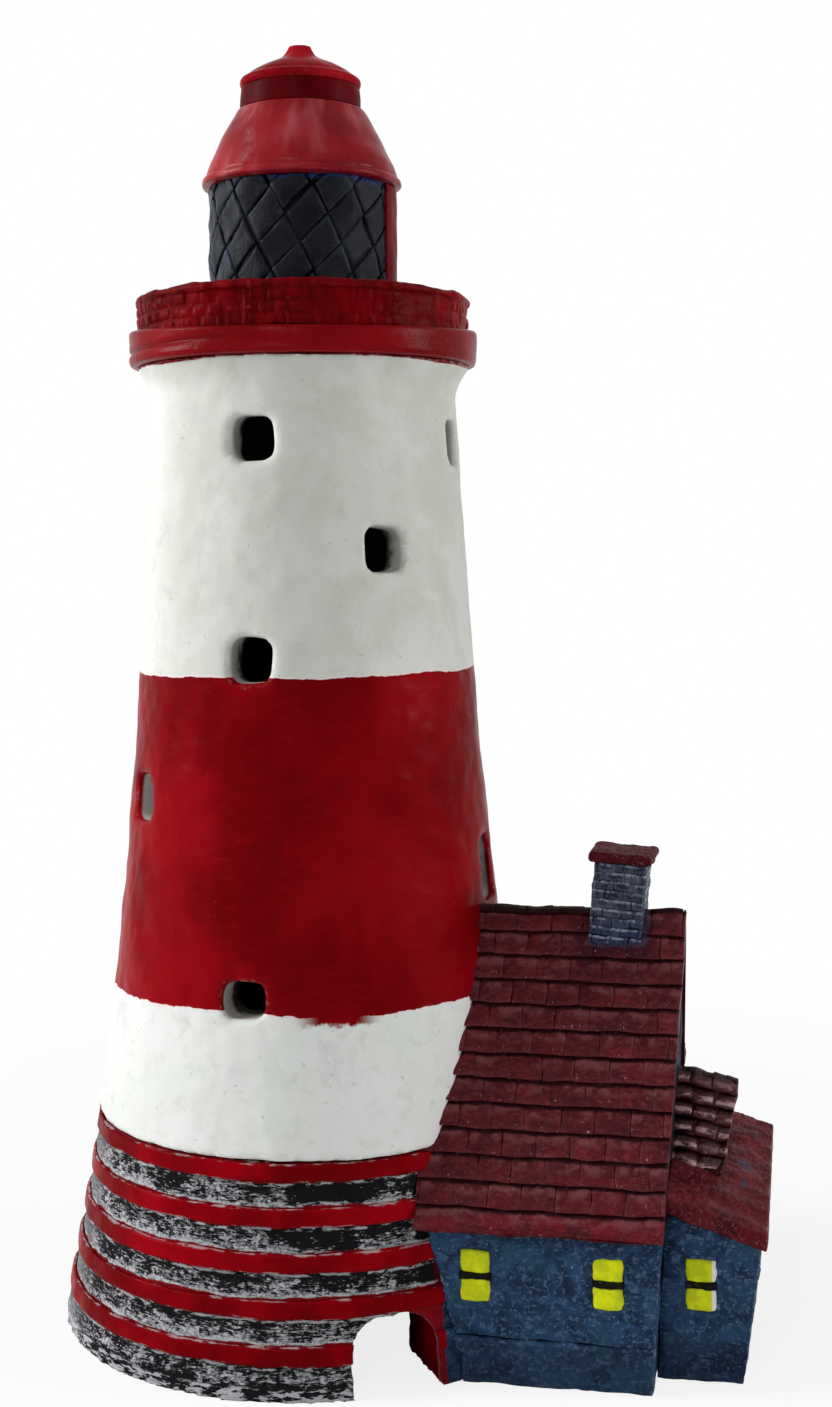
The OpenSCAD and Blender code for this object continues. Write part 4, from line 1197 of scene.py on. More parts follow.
def rounded(corners: Sequence[Triple], steps: int = 6) -> Outline:
    """Returns an outline with each corner rounded.

    Args:
        corners: radius, height and corner radius of each corner, in millimetres.
        steps: points on each rounded corner.

    Returns:
        The points of the rounded outline.
    """
    most = 0.48
    made: Outline = []
    for i, (x, y, r) in enumerate(corners):
        if r <= 0 or i in (0, len(corners) - 1):
            made.append((x, y))
            continue
        here = Vector((x, y))
        before = Vector(corners[i - 1][:2]) - here
        after = Vector(corners[i + 1][:2]) - here
        back = min(r, before.length * most, after.length * most)
        start, end = here + before.normalized() * back, here + after.normalized() * back
        for k in range(steps + 1):
            t = k / steps
            p = start * (1 - t) ** 2 + here * 2 * t * (1 - t) + end * t * t
            made.append((p.x, p.y))
    return made


def slab(name: str, low: Triple, high: Triple) -> Thing:
    """Returns a plain block between two corners in metres, the core of a casting."""
    (x0, y0, z0), (x1, y1, z1) = low, high
    points = [(x, y, z) for x in (x0, x1) for y in (y0, y1) for z in (z0, z1)]
    faces = [(0, 1, 3, 2), (4, 6, 7, 5), (0, 4, 5, 1), (2, 3, 7, 6), (0, 2, 6, 4), (1, 5, 7, 3)]
    return mesh_object(name, points, faces)


def crowded(t: float) -> float:
    """Returns t, from -1 to 1, drawn towards its ends so that cells crowd at a rim."""
    return math.copysign(1 - (1 - abs(t)) ** 1.6, t)


def pillow(name: str, corner: Patch, lift: Patch, height_mm: float, depth_mm: float,
           cells: tuple[int, int], power: float, rim: float) -> Thing:
    """Returns a closed block over a patch, domed on top and flat underneath, with its own map.

    Args:
        name: the object's name.
        corner: the place on the patch for u and v from -1 to 1.
        lift: the direction out of the patch there.
        height_mm: how far the middle stands out.
        depth_mm: how far the block reaches below the patch.
        cells: cells along u and along v.
        power: how squarely the dome falls off at its rim.
        rim: share of the height that is left at the rim.

    Returns:
        The block, whose map "patch" runs from 0 to 1 each way.
    """
    wide, tall = cells
    across, upward = wide + 1, tall + 1
    grid = [(crowded(2 * i / wide - 1), crowded(2 * j / tall - 1))
            for i in range(across) for j in range(upward)]
    points: list[Vector] = []
    for top in (False, True):
        for u, v in grid:
            dome = (1 - abs(u) ** power) * (1 - abs(v) ** power)
            share = height_mm * MM * (rim + (1 - rim) * dome) if top else -depth_mm * MM
            points.append(corner(u, v) + lift(u, v) * share)
    faces: list[tuple[int, ...]] = []
    over = across * upward
    for i in range(wide):
        for j in range(tall):
            a, b = i * upward + j, (i + 1) * upward + j
            faces.append((over + a, over + b, over + b + 1, over + a + 1))
            faces.append((a, a + 1, b + 1, b))
    edge = [i * upward for i in range(across)] + [wide * upward + j for j in range(1, upward)]
    edge += [i * upward + tall for i in range(wide - 1, -1, -1)] + list(range(tall - 1, 0, -1))
    for a, b in zip(edge, edge[1:] + edge[:1]):
        faces.append((a, b, over + b, over + a))
    made = mesh_object(name, points, faces)
    layer = made.data.uv_layers.new(name="patch")
    numbers = np.empty(len(made.data.loops), np.int32)
    made.data.loops.foreach_get("vertex_index", numbers)
    flat = (np.array(grid + grid) + 1) / 2
    layer.data.foreach_set("uv", flat[numbers].astype(np.float32).ravel())
    return made


# Courses laid by Geometry Nodes


@dataclass(frozen=True)
class Layout:
    """How a piece is repeated in rows; each field is an input of the course trees."""

    columns: int
    rows: int
    start: Triple
    row_offset: Triple
    along: Triple = (0.0, 0.0, 0.0)
    rotation: Triple = (0.0, 0.0, 0.0)
    step: float = 1.0
    stagger: float = 0.5
    drift: float = 0.0
    turn_jitter: float = 0.0
    size_jitter: float = 0.0
    seed: int = 0


def in_use(sockets: Iterable[Socket], name: str) -> Socket:
    """Returns the socket of a name that is in use, on a node with one for each kind of value."""
    return next(socket for socket in sockets if socket.name == name and socket.enabled)


class CourseTree(Graph):
    """A geometry-node tree that lays a piece out in rows."""

    kinds = {int: "Int", float: "Float", Triple: "Vector"}
    ring_turn = 0.15

    def __init__(self, name: str, ring: bool) -> None:
        """Builds the tree.

        Args:
            name: the tree's name.
            ring: rows run round an upright axis, or else along a straight line.
        """
        super().__init__(bpy.data.node_groups.new(name, "GeometryNodeTree"))
        self.ring = ring
        inputs = {"piece": "Geometry", "paint": "Material"}
        inputs.update({item.name: self.kinds[item.type] for item in fields(Layout)})
        for key, kind in inputs.items():
            self.tree.interface.new_socket(name=key, in_out="INPUT", socket_type="NodeSocket" + kind)
        self.tree.interface.new_socket(name="laid", in_out="OUTPUT", socket_type="NodeSocketGeometry")
        source = self.node("NodeGroupInput")
        self.ins = SimpleNamespace(**{key: self.take(source, key) for key in inputs})
        self.build()

    def build(self) -> None:
        """Fills the tree: points, their places and turns, instances with a tone, realized and painted."""
        ins = self.ins
        points = self.node("GeometryNodePoints", ins.columns * ins.rows)
        index = self.take(self.node("GeometryNodeInputIndex"))
        row = self.math("FLOOR", (index + 0.01) / ins.columns)
        column = index - row * ins.columns
        along = (column + (row % 2.0 * ins.stagger + row * ins.drift)) * ins.step
        turn = self.jitter(ins.turn_jitter, 0.0)
        place = self.vector("ADD", ins.start, self.scaled(ins.row_offset, row))
        if self.ring:
            turn = self.scaled(turn, self.ring_turn)
            rotation = self.vector("ADD", ins.rotation, self.combine(0.0, 0.0, along))
            rotation = self.vector("ADD", rotation, turn)
        else:
            place = self.vector("ADD", place, self.scaled(ins.along, along))
            rotation = self.vector("ADD", ins.rotation, turn)
        placed = self.node("GeometryNodeSetPosition", self.take(points))
        self.put(placed.inputs["Position"], place)
        spread = self.node("GeometryNodeInstanceOnPoints", self.take(placed))
        given = {"Instance": ins.piece,
                 "Rotation": self.take(self.node("FunctionNodeEulerToRotation", rotation)),
                 "Scale": self.vector("ADD", self.jitter(ins.size_jitter, 7.0), (1.0, 1.0, 1.0))}
        for name, value in given.items():
            self.put(spread.inputs[name], value)
        real = self.node("GeometryNodeRealizeInstances", self.take(self.toned(spread)))
        painted = self.node("GeometryNodeSetMaterial", self.take(real))
        self.put(painted.inputs["Material"], ins.paint)
        self.link(painted, self.node("NodeGroupOutput"))

    def toned(self, spread: bpy.types.Node) -> bpy.types.Node:
        """Returns the node that stores a random tone, from 0.2 to 1, with each instance."""
        picked = self.node("FunctionNodeRandomValue", data_type="FLOAT")
        for name, value in (("Min", 0.2), ("Max", 1.0), ("Seed", self.ins.seed + 13.0)):
            self.put(in_use(picked.inputs, name), value)
        made = self.node("GeometryNodeStoreNamedAttribute", data_type="FLOAT", domain="INSTANCE")
        self.link(spread, made, "Geometry")
        self.put(made.inputs["Name"], "tone")
        self.put(in_use(made.inputs, "Value"), Value(self, in_use(picked.outputs, "Value")))
        return made

    def scaled(self, vector: Value, amount: object) -> Value:
        """Returns a vector times a number."""
        made = self.node("ShaderNodeVectorMath", operation="SCALE")
        self.put(made.inputs[0], vector)
        self.put(made.inputs["Scale"], amount)
        return self.take(made)

    def jitter(self, amount: Value, shift: float) -> Value:
        """Returns a random vector between minus and plus an amount, fixed by the seed and a shift."""
        made = self.node("FunctionNodeRandomValue", data_type="FLOAT_VECTOR")
        self.put(made.inputs[0], (-1.0, -1.0, -1.0))
        self.put(made.inputs[1], (1.0, 1.0, 1.0))
        self.put(in_use(made.inputs, "Seed"), self.ins.seed + shift)
        return self.scaled(self.take(made), amount)

    def lay(self, piece: Thing, layout: Layout) -> Thing:
        """Lays a piece out, which is used up by this, and returns the plain mesh in its place."""
        modifier = piece.modifiers.new(self.tree.name, "NODES")
        modifier.node_group = self.tree
        keys = {item.name: item.identifier for item in self.tree.interface.items_tree}
        for item in fields(layout):
            modifier[keys[item.name]] = getattr(layout, item.name)
        return settled(piece)


# Sub-assemblies


@dataclass(frozen=True)
class Workshop:
    """What every sub-assembly is made with: the paints and the two ways to lay courses."""

    shelf: PaintShelf
    ring: CourseTree
    line: CourseTree

    def dress(self, thing: Thing, finish: Finish, slot: str, *replaces: str) -> None:
        """Smooths and paints a finished piece, parents it to the root body and hides the CAD nodes.

        Args:
            thing: the piece.
            finish: its paint.
            slot: the record's material slot, which is not used.
            replaces: the CAD nodes that it stands for.
        """
        faces = thing.data.polygons
        thing.data.materials.clear()
        thing.data.materials.append(self.shelf.take(finish))
        faces.foreach_set("material_index", [0] * len(faces))
        faces.foreach_set("use_smooth", [True] * len(faces))
        thing.data.update()
        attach(thing, "root")
        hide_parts(*replaces)
        log.info("%s: %d faces", thing.name, len(faces))

    def recast(self, node: str, name: str, skin: Casting, finish: Finish, slot: str) -> None:
        """Works the copy of a solid into a casting and dresses it.

        Args:
            node: the CAD node.
            name: the piece's name.
            skin: how the casting is worked.
            finish: its paint.
            slot: the record's material slot.
        """
        self.dress(skin.work(copy_of(node, name)), finish, slot, node)

    def turn(self, node: str, corners: Sequence[Triple], steps: int, wobble_mm: float, seed: float,
             finish: Finish) -> None:
        """Turns a red piece from its corners and dresses it.

        Args:
            node: the CAD node.
            corners: radius, height and corner radius of each corner, in millimetres.
            steps: points round the axis.
            wobble_mm: how far the radius wanders.
            seed: shifts the wander.
            finish: its paint.
        """
        made = lathe(node + "_casting", rounded(corners), steps, wobble_mm, seed)
        self.dress(made, finish, "red_gloss", node)


@dataclass(frozen=True)
class StoneBase:
    """The stone foot and its painted rings."""

    stone_skin: Casting = Casting(voxel_mm=0.75, soften=2, lump_mm=0.3, lump_size_mm=8.0, grain_mm=0.3,
                                  grain_size_mm=1.9, seed=3.0)
    ring_skin: Casting = Casting(voxel_mm=0.55, soften=2, lump_mm=0.3, lump_size_mm=7.0, seed=9.0)

    def make(self, shop: Workshop) -> None:
        """Builds and paints the foot."""
        shop.recast("stone_foot", "stone_foot_casting", self.stone_skin, STONE, "dry_brushed_stone")
        shop.recast("painted_rings", "painted_ring_castings", self.ring_skin, RINGS, "red_gloss")


@dataclass(frozen=True)
class Shaft:
    """The hollow, striped wall of the tower."""

    skin: Casting = Casting(voxel_mm=1.15, soften=3, lump_mm=0.4, lump_size_mm=14.0, drift_mm=0.22,
                            drift_size_mm=4.5, seed=5.0)

    def make(self, shop: Workshop) -> None:
        """Builds and paints the shaft."""
        shop.recast("tower_shaft", "tower_shaft_casting", self.skin, STRIPES, "striped_paint")


@dataclass(frozen=True)
class Gallery:
    """The deck and the parapet with its courses of bricks."""

    radius_mm: float = 38.6
    wall_mm: float = 2.8
    coping_mm: float = 1.9
    bricks: int = 60
    rows: int = 3
    dip_mm: float = 2.8
    dip_azimuth: float = 15.0
    dip_from_mm: float = 37.2
    crease_mm: float = 0.85
    crease_azimuth: float = -62.0
    crease_sweep: float = 58.0
    skin: Casting = Casting(voxel_mm=0.34, soften=1, lump_mm=0.45, lump_size_mm=4.5, grain_mm=0.12,
                            grain_size_mm=1.8, seed=2.0)

    def make(self, shop: Workshop) -> None:
        """Builds and paints the gallery."""
        self.make_deck(shop)
        self.make_parapet(shop)

    def make_deck(self, shop: Workshop) -> None:
        """Turns the deck, moulds its front rim lower and creases it round its lower third."""
        low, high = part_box("gallery_deck")
        z0, z1, r = turned_size(low, high)
        side = [(r - 0.25, z0 + 1.2 + 0.35 * i, 0) for i in range(1, 15)]
        corners = [(0, z0, 0), (r - 2.4, z0, 0.6), (r - 0.5, z0 + 0.4, 1.2), *side,
                   (r - 0.35, z1 - 0.7, 0.8), (r - 1.0, z1 - 0.05, 0.6), (0, z1 - 0.05, 0)]
        deck = lathe("gallery_deck_casting", rounded(corners), 224, wobble_mm=0.35, seed=1.0)
        for vertex in deck.data.vertices:
            if (vertex.co.xy - Vector((AXIS, 0))).length > self.dip_from_mm * MM:
                vertex.co.z = low.z + (vertex.co.z - low.z) * (1 - self.front_dip(vertex.co) / (z1 - z0))
            crease = self.crease(vertex.co, z0)
            if crease > 0.01:
                outward = Vector((vertex.co.x - AXIS, vertex.co.y, 0)).normalized()
                vertex.co -= outward * (crease * MM)
        shop.dress(deck, RED, "red_gloss", "gallery_deck")

    def front_dip(self, place: Vector) -> float:
        """Returns how far the deck's rim is moulded lower towards the front, in millimetres."""
        turn = math.atan2(place.x - AXIS, -place.y)
        return self.dip_mm * max(0.0, math.cos(turn - math.radians(self.dip_azimuth)))

    def crease(self, place: Vector, foot_mm: float) -> float:
        """Returns how deep the deck's crease is at a place, in millimetres."""
        turn = math.degrees(math.atan2(place.x - AXIS, -place.y))
        beside = turn - self.crease_azimuth
        fade = max(0.0, 1 - abs(beside) / self.crease_sweep) if turn < 0 else 0.0
        away = (place.z / MM - foot_mm - 3.0 - 0.012 * beside) / 0.55
        return self.crease_mm * fade ** 0.6 * math.exp(-away ** 2)

    def make_parapet(self, shop: Workshop) -> None:
        """Builds the parapet: a turned wall with bricks laid round it, melted into one casting."""
        low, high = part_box("gallery_parapet")
        z0, z1, r = low.z / MM - self.dip_mm, high.z / MM, self.radius_mm
        lip = (high.x - low.x) / 2 / MM
        coping = z1 - self.coping_mm
        inner, outer, bed = r - self.wall_mm, r - 0.35, r - 0.4
        section = [(inner, z0), (outer, z0), (outer, coping), (lip - 0.15, coping + 0.25),
                   (lip - 0.1, z1 - 0.8), (lip - 0.9, z1), (inner, z1)]
        core = self.turned_wall("parapet_core", section)
        course = (z1 - z0 - self.coping_mm) / self.rows
        tall = course / 2 - 0.32
        half = math.pi / self.bricks * 0.84

        def corner(u: float, v: float) -> Vector:
            """Returns a place on the brick's curved bed."""
            return Vector((bed * math.sin(u * half), -bed * math.cos(u * half), v * tall)) * MM

        def lift(u: float, _: float) -> Vector:
            """Returns the direction out of the wall."""
            return Vector((math.sin(u * half), -math.cos(u * half), 0))

        brick = pillow("parapet_brick", corner, lift, 0.75, 0.5, cells=(4, 4), power=8, rim=0.75)
        bricks = shop.ring.lay(brick, Layout(
            self.bricks, self.rows, start=(AXIS, 0.0, (z0 + course / 2) * MM),
            row_offset=(0.0, 0.0, course * MM), step=2 * math.pi / self.bricks, turn_jitter=0.03,
            size_jitter=0.003, seed=4))
        self.fill_joints(bricks, outer)
        parapet = self.skin.work(joined("gallery_parapet_casting", [core, bricks]))
        shop.dress(parapet, RED_WALL, "red_gloss", "gallery_parapet")

    def fill_joints(self, bricks: Thing, floor_mm: float) -> None:
        """Sinks the bricks into the wall where thick paint has filled their joints."""
        for vertex in bricks.data.vertices:
            x, y = vertex.co.x - AXIS, vertex.co.y
            radius = math.hypot(x, y) / MM
            azimuth = math.degrees(math.atan2(x, -y))
            bare = max(0.0, 1 - (abs(azimuth + 66) / 34) ** 4)
            bare = max(bare, 0.4 + 0.9 * noise.noise(Vector((azimuth / 17, 3.0, vertex.co.z * 40))))
            if azimuth > 120 or azimuth < -110:
                bare = max(bare, 0.8)
            proud = max(0.0, radius - floor_mm)
            wanted = floor_mm + proud * min(1.0, max(0.12, bare)) if proud else radius
            vertex.co.x, vertex.co.y = AXIS + x * wanted / radius, y * wanted / radius

    def turned_wall(self, name: str, outline: Outline, steps: int = 180) -> Thing:
        """Returns a closed ring whose cross-section is an outline of radius and height."""
        points: list[Triple] = []
        faces: list[tuple[int, ...]] = []
        count = len(outline)
        for i in range(steps):
            turn = 2 * math.pi * i / steps
            c, s = math.cos(turn), math.sin(turn)
            points += [(AXIS + r * MM * s, -r * MM * c, z * MM) for r, z in outline]
        for i in range(steps):
            here, there = i * count, (i + 1) % steps * count
            for k in range(count):
                after = (k + 1) % count
                faces.append((here + k, there + k, there + after, here + after))
        return mesh_object(name, points, faces)


@dataclass(frozen=True)
class Lantern:
    """The lantern room with its diamonds, the blank panel, the roof, the vent and the cap."""

    columns: int = 14
    diamond_mm: float = 12.7
    lean_mm: float = 3.2
    azimuth: float = 8.6
    shift_mm: float = 11.5
    line_mm: float = 0.8
    panel_start: float = 77.0
    panel_sweep: float = 150.0
    roll_mm: float = 2.5
    shoulder_mm: float = 15.4
    bell: tuple[Triple, ...] = (
        (12.95, 2.4, 0.6), (12.2, 3.1, 0.6), (11.3, 3.7, 0.5), (10.3, 4.3, 0.5), (9.0, 5.0, 0.6),
        (7.4, 5.7, 0.7), (5.7, 6.4, 0.7), (4.35, 7.1, 0.6), (3.6, 7.9, 0.6), (2.85, 9.1, 0.4))
    room_skin: Casting = Casting(lump_mm=0.5, lump_size_mm=5.5, grain_mm=0.12, grain_size_mm=1.8,
                                 drift_mm=0.3, drift_size_mm=6.0, seed=8.0)
    panel_skin: Casting = Casting(voxel_mm=0.35, soften=4, lump_mm=0.16, lump_size_mm=5.0, seed=12.0)

    def make(self, shop: Workshop) -> None:
        """Builds and paints the lantern."""
        self.make_room(shop)
        shop.recast("lantern_blank_panel", "lantern_panel_casting", self.panel_skin, RED_PANEL, "red_gloss")
        self.make_roof(shop)
        self.make_vent(shop)
        self.make_cap(shop)

    def make_room(self, shop: Workshop) -> None:
        """Builds the room: a turned core with pillowed diamonds laid round its glazed side."""
        z0, z1, r = turned_size(*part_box("lantern_room"))
        r += 0.25
        bed = r - 0.6
        core = lathe("lantern_core", [(0, z0), (r - 0.75, z0), (r - 0.75, z1), (0, z1)], 160)
        step = 2 * math.pi / self.columns
        width = 2 * r * math.sin(step / 2)
        part = (width - self.line_mm) / width
        lean = self.lean_mm / r / 2

        def turn_at(u: float, v: float) -> float:
            """Returns the angle round the room at a place on the leaning diamond."""
            return ((u + v) / 2 * step / 2 + (v - u) / 2 * lean) * part

        def corner(u: float, v: float) -> Vector:
            """Returns the place on the leaning diamond for u and v from -1 to 1."""
            turn = turn_at(u, v)
            up = (v - u) / 2 * self.diamond_mm / 2 * part
            return Vector((bed * math.sin(turn), -bed * math.cos(turn), up)) * MM

        def lift(u: float, v: float) -> Vector:
            """Returns the direction out of the room at that place."""
            turn = turn_at(u, v)
            return Vector((math.sin(turn), -math.cos(turn), 0))

        diamond = pillow("lantern_diamond", corner, lift, 0.5, 0.5, cells=(10, 10), power=18, rim=0.45)
        rows = int(math.ceil(2 * (z1 - z0) / self.diamond_mm)) + 3
        start_row = -math.floor(2 * self.shift_mm / self.diamond_mm) - 1
        start_turn = math.radians(self.azimuth) + start_row * lean
        start_z = (z0 + self.shift_mm + start_row * self.diamond_mm / 2) * MM
        diamonds = shop.ring.lay(diamond, Layout(
            self.columns, rows, start=(AXIS, 0.0, start_z), row_offset=(0.0, 0.0, self.diamond_mm / 2 * MM),
            rotation=(0.0, 0.0, start_turn + (step / 2 if start_row % 2 else 0.0)),
            step=step, drift=lean / step, turn_jitter=0.12, size_jitter=0.006, seed=6))
        self.trim(diamonds, z0, z1)
        room = self.room_skin.roughen(joined("lantern_room_casting", [diamonds, core]))
        shop.dress(room, NAVY, "navy_gloss", "lantern_room")

    def trim(self, diamonds: Thing, z0: float, z1: float) -> None:
        """Cuts the diamonds off at the deck, at the roof and at the blank panel."""
        middle = math.radians(self.panel_start + self.panel_sweep / 2)
        out = Vector((math.sin(middle), -math.cos(middle), 0))
        with edited(diamonds.data) as built:
            for height, up in ((z0, 1.0), (z1, -1.0)):
                slice_off(built, Vector((0, 0, height * MM)), Vector((0, 0, up)))
            gone = [vertex for vertex in built.verts if self.behind_panel(vertex.co, out)]
            bmesh.ops.delete(built, geom=gone, context="VERTS")
            close_holes(built, [edge for edge in built.edges if edge.is_boundary])

    def behind_panel(self, place: Vector, out: Vector) -> bool:
        """Tells whether a place lies in the blank panel's sector, whose middle out points to."""
        flat = Vector((place.x - AXIS, place.y, 0))
        reach = math.cos(math.radians(self.panel_sweep / 2 - 1.5))
        return flat.length > 0 and flat.normalized().dot(out) > reach

    def make_roof(self, shop: Workshop) -> None:
        """Builds the roof: a rolled eave with a groove over it and a cone that swells a little."""
        z0, z1, r = turned_size(*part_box("lantern_roof"))
        roll, shoulder, parts = self.roll_mm, self.shoulder_mm, 6
        slope = [(r - 1.15 - (r - 1.15 - shoulder) * (i / parts) ** 1.18,
                  z0 + roll + 0.5 + (z1 - z0 - roll - 1.6) * (i / parts) ** 1.04, 0.8)
                 for i in range(parts + 1)]
        corners = [(0, z0 + 0.05, 0), (r - 2.0, z0 + 0.05, 0.5), (r - 0.1, z0 + 0.55, 0.9),
                   (r - 0.3, z0 + 1.9, 0.7), (r - 1.15, z0 + 2.2, 0.3), *slope,
                   (shoulder - 0.55, z1 - 0.3, 0.4), (shoulder - 1.2, z1 - 0.1, 0.3), (0, z1 - 0.05, 0)]
        shop.turn("lantern_roof", corners, 208, 0.4, 4.0, RED_WORN)

    def make_vent(self, shop: Workshop) -> None:
        """Builds the vent drum."""
        z0, z1, r = turned_size(*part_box("roof_vent"))
        corners = [(0, z0 - 0.1, 0), (r - 0.1, z0 - 0.1, 0.4), (r - 0.2, z0 + 1.8, 1.5),
                   (r - 0.45, z1 + 0.1, 0.6), (0, z1 + 0.1, 0)]
        shop.turn("roof_vent", corners, 160, 0.25, 7.0, RED_DARK)

    def make_cap(self, shop: Workshop) -> None:
        """Builds the ogee cap with its blunt stub."""
        z0, z1, r = turned_size(*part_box("vent_cap"))
        bell = [(radius, z0 + height, corner) for radius, height, corner in self.bell]
        corners = [(0, z0 + 0.02, 0), (r - 0.5, z0 + 0.02, 0.4), (r - 0.05, z0 + 0.9, 0.7),
                   (r - 0.2, z0 + 1.8, 0.5), *bell, (2.6, z1 - 0.1, 0.3), (0, z1 - 0.4, 0)]
        shop.turn("vent_cap", corners, 144, 0.3, 9.0, RED_CAP)


@dataclass(frozen=True)
class TiledSlope:
    """One slope of tiles: where it starts, how it rises and how its tiles lie."""

    start: Vector
    along: Vector
    up: Vector
    columns: int
    rows: int
    tile_mm: float
    course_mm: float
    step_mm: float = 1.0
    round_mm: float = 0.35
    depth_mm: float = 2.0
    drift: float = 0.17
    turn: float = 0.03
    seed: int = 1
    cells: tuple[int, int] = (8, 6)
    power: float = 10.0
    rim: float = 0.3

    def lay(self, name: str, line: CourseTree) -> Thing:
        """Returns the laid tiles as one mesh."""
        along, up = self.along.normalized(), self.up.normalized()
        out = along.cross(up).normalized()
        half_w, half_h = self.tile_mm / 2, self.course_mm / 2 * 1.07

        def corner(u: float, v: float) -> Vector:
            """Returns a place on the tile, whose foot stands out over the course below."""
            return (along * (u * half_w) + up * (v * half_h) + out * (self.step_mm * (1 - v) / 2)) * MM

        tile = pillow(name, corner, lambda u, v: out, self.round_mm, self.depth_mm, self.cells,
                      self.power, self.rim)
        return line.lay(tile, Layout(
            self.columns, self.rows, start=tuple(self.start), row_offset=tuple(up * (self.course_mm * MM)),
            along=tuple(along * (self.tile_mm * MM)), drift=self.drift, turn_jitter=self.turn,
            size_jitter=0.02, seed=self.seed))


@dataclass(frozen=True)
class Cottage:
    """The cottage beside the tower: walls, tiled roof, chimney, wing, dormer and windows."""

    ridge_mm: float = -9.2
    eave_mm: float = -43.4
    eave_z_mm: float = 34.4
    courses: int = 13
    tile_mm: float = 7.6
    verge_x_mm: float = 86.6
    slab_mm: float = 2.4
    ridge_z_mm: float = 100.3
    stack_x_mm: float = 75.4
    stack_y_mm: float = -6.8
    stack_w_mm: float = 12.0
    stack_d_mm: float = 14.0
    stack_rise_mm: float = 11.1
    stack_fall_mm: float = 15.0
    stack_lean: float = math.radians(4.5)
    brick_mm: float = 4.2
    brick_course_mm: float = 2.1
    dormer_x_mm: float = 86.0
    dormer_y_mm: float = -2.8
    dormer_z_mm: float = 62.4
    dormer_length_mm: float = 14.2
    dormer_fall: float = 10.0
    dormer_pitch: float = 62.0
    dormer_course_mm: float = 3.7
    wall_skin: Casting = Casting(0.5, 3, 0.45, 6.0, 0.16, 1.8, seed=1.5)
    plinth_skin: Casting = Casting(0.5, 3, 0.45, 6.0, 0.16, 1.8, seed=2.5)
    roof_skin: Casting = Casting(lump_mm=0.3, lump_size_mm=3.5, grain_mm=0.1, grain_size_mm=1.4,
                                 drift_mm=0.45, drift_size_mm=6.5, seed=4.5)
    stack_skin: Casting = Casting(lump_mm=0.2, lump_size_mm=2.2, grain_mm=0.12, grain_size_mm=0.9,
                                  drift_mm=0.3, drift_size_mm=3.0, seed=6.5)
    cap_skin: Casting = Casting(0.3, 4, 0.4, 4.0, 0.12, 1.2, seed=7.5)
    wing_skin: Casting = Casting(0.45, 4, 0.45, 6.0, 0.16, 1.8, seed=3.5)
    lean_to_skin: Casting = Casting(0.4, 5, 0.55, 5.5, 0.12, 1.6, seed=5.5)
    dormer_skin: Casting = Casting(lump_mm=0.4, lump_size_mm=2.6, grain_mm=0.12, grain_size_mm=1.0,
                                   drift_mm=0.45, drift_size_mm=4.0, seed=8.5)
    bar_skin: Casting = Casting(0.16, 3, 0.35, 2.0, 0.1, 0.9, seed=9.5)

    def make(self, shop: Workshop) -> None:
        """Builds and paints the cottage."""
        shop.recast("cottage_walls", "cottage_wall_casting", self.wall_skin, SLATE, "slate_blue_wall")
        shop.recast("cottage_plinth", "cottage_plinth_casting", self.plinth_skin, SLATE, "slate_blue_wall")
        self.make_roof(shop)
        self.make_stack(shop)
        shop.recast("chimney_cap", "chimney_cap_casting", self.cap_skin, MAROON, "maroon_tile")
        shop.recast("wing_walls", "wing_wall_casting", self.wing_skin, SLATE, "slate_blue_wall")
        shop.recast("wing_roof", "wing_roof_casting", self.lean_to_skin, MAROON_WING, "maroon_tile")
        self.make_dormer(shop)
        self.make_windows(shop)

    def make_roof(self, shop: Workshop) -> None:
        """Builds both tiled slopes on the roof's slab and melts them into one casting."""
        low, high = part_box("cottage_roof")
        rise = high.z / MM - self.eave_z_mm
        run = self.ridge_mm - self.eave_mm
        pitch = math.atan2(rise, run)
        course = math.hypot(rise, run) / self.courses
        parts: list[Thing] = []
        right = high.x + 0.4 * MM
        columns = int((right - (low.x - 4 * MM)) / (self.tile_mm * MM)) + 4
        length = columns * self.tile_mm
        for side in (-1, 1):
            up = Vector((0, -side * math.cos(pitch), math.sin(pitch)))
            along = Vector((-side, 0, 0))
            x = right - columns * self.tile_mm * MM if side < 0 else right
            y = (self.eave_mm if side < 0 else 2 * self.ridge_mm - self.eave_mm) * MM
            out = along.cross(up).normalized()
            start = Vector((x, y, self.eave_z_mm * MM)) + up * (course / 2 * MM) - out * (0.25 * MM)
            tiles = TiledSlope(start + up * (course * MM), along, up, columns + 1, self.courses - 1,
                               self.tile_mm, course, seed=11 + side)
            band = TiledSlope(start + along * (length / 2 * MM), along, up, 1, 1, length, course,
                              step_mm=1.5, round_mm=0.5, turn=0.0, cells=(120, 8), rim=0.2)
            parts += [tiles.lay("slope_tiles", shop.line), band.lay("eave_band", shop.line)]
        roof = joined("cottage_roof_casting", parts + [self.roof_slab(pitch, rise)])
        lean = Vector((-math.cos(GABLE_LEAN), 0, math.sin(GABLE_LEAN)))
        cut_off(roof, [(Vector((AXIS + self.verge_x_mm * MM, 0, 0)), lean),
                       (Vector((low.x + 2.5 * MM, 0, 0)), Vector((1, 0, 0))),
                       (Vector((0, low.y + 0.2 * MM, 0)), Vector((0, 1, 0))),
                       (Vector((0, high.y - 0.2 * MM, 0)), Vector((0, -1, 0))),
                       (Vector((0, 0, low.z)), Vector((0, 0, 1)))])
        shop.dress(self.roof_skin.roughen(roof), MAROON_TILES, "maroon_tile", "cottage_roof")

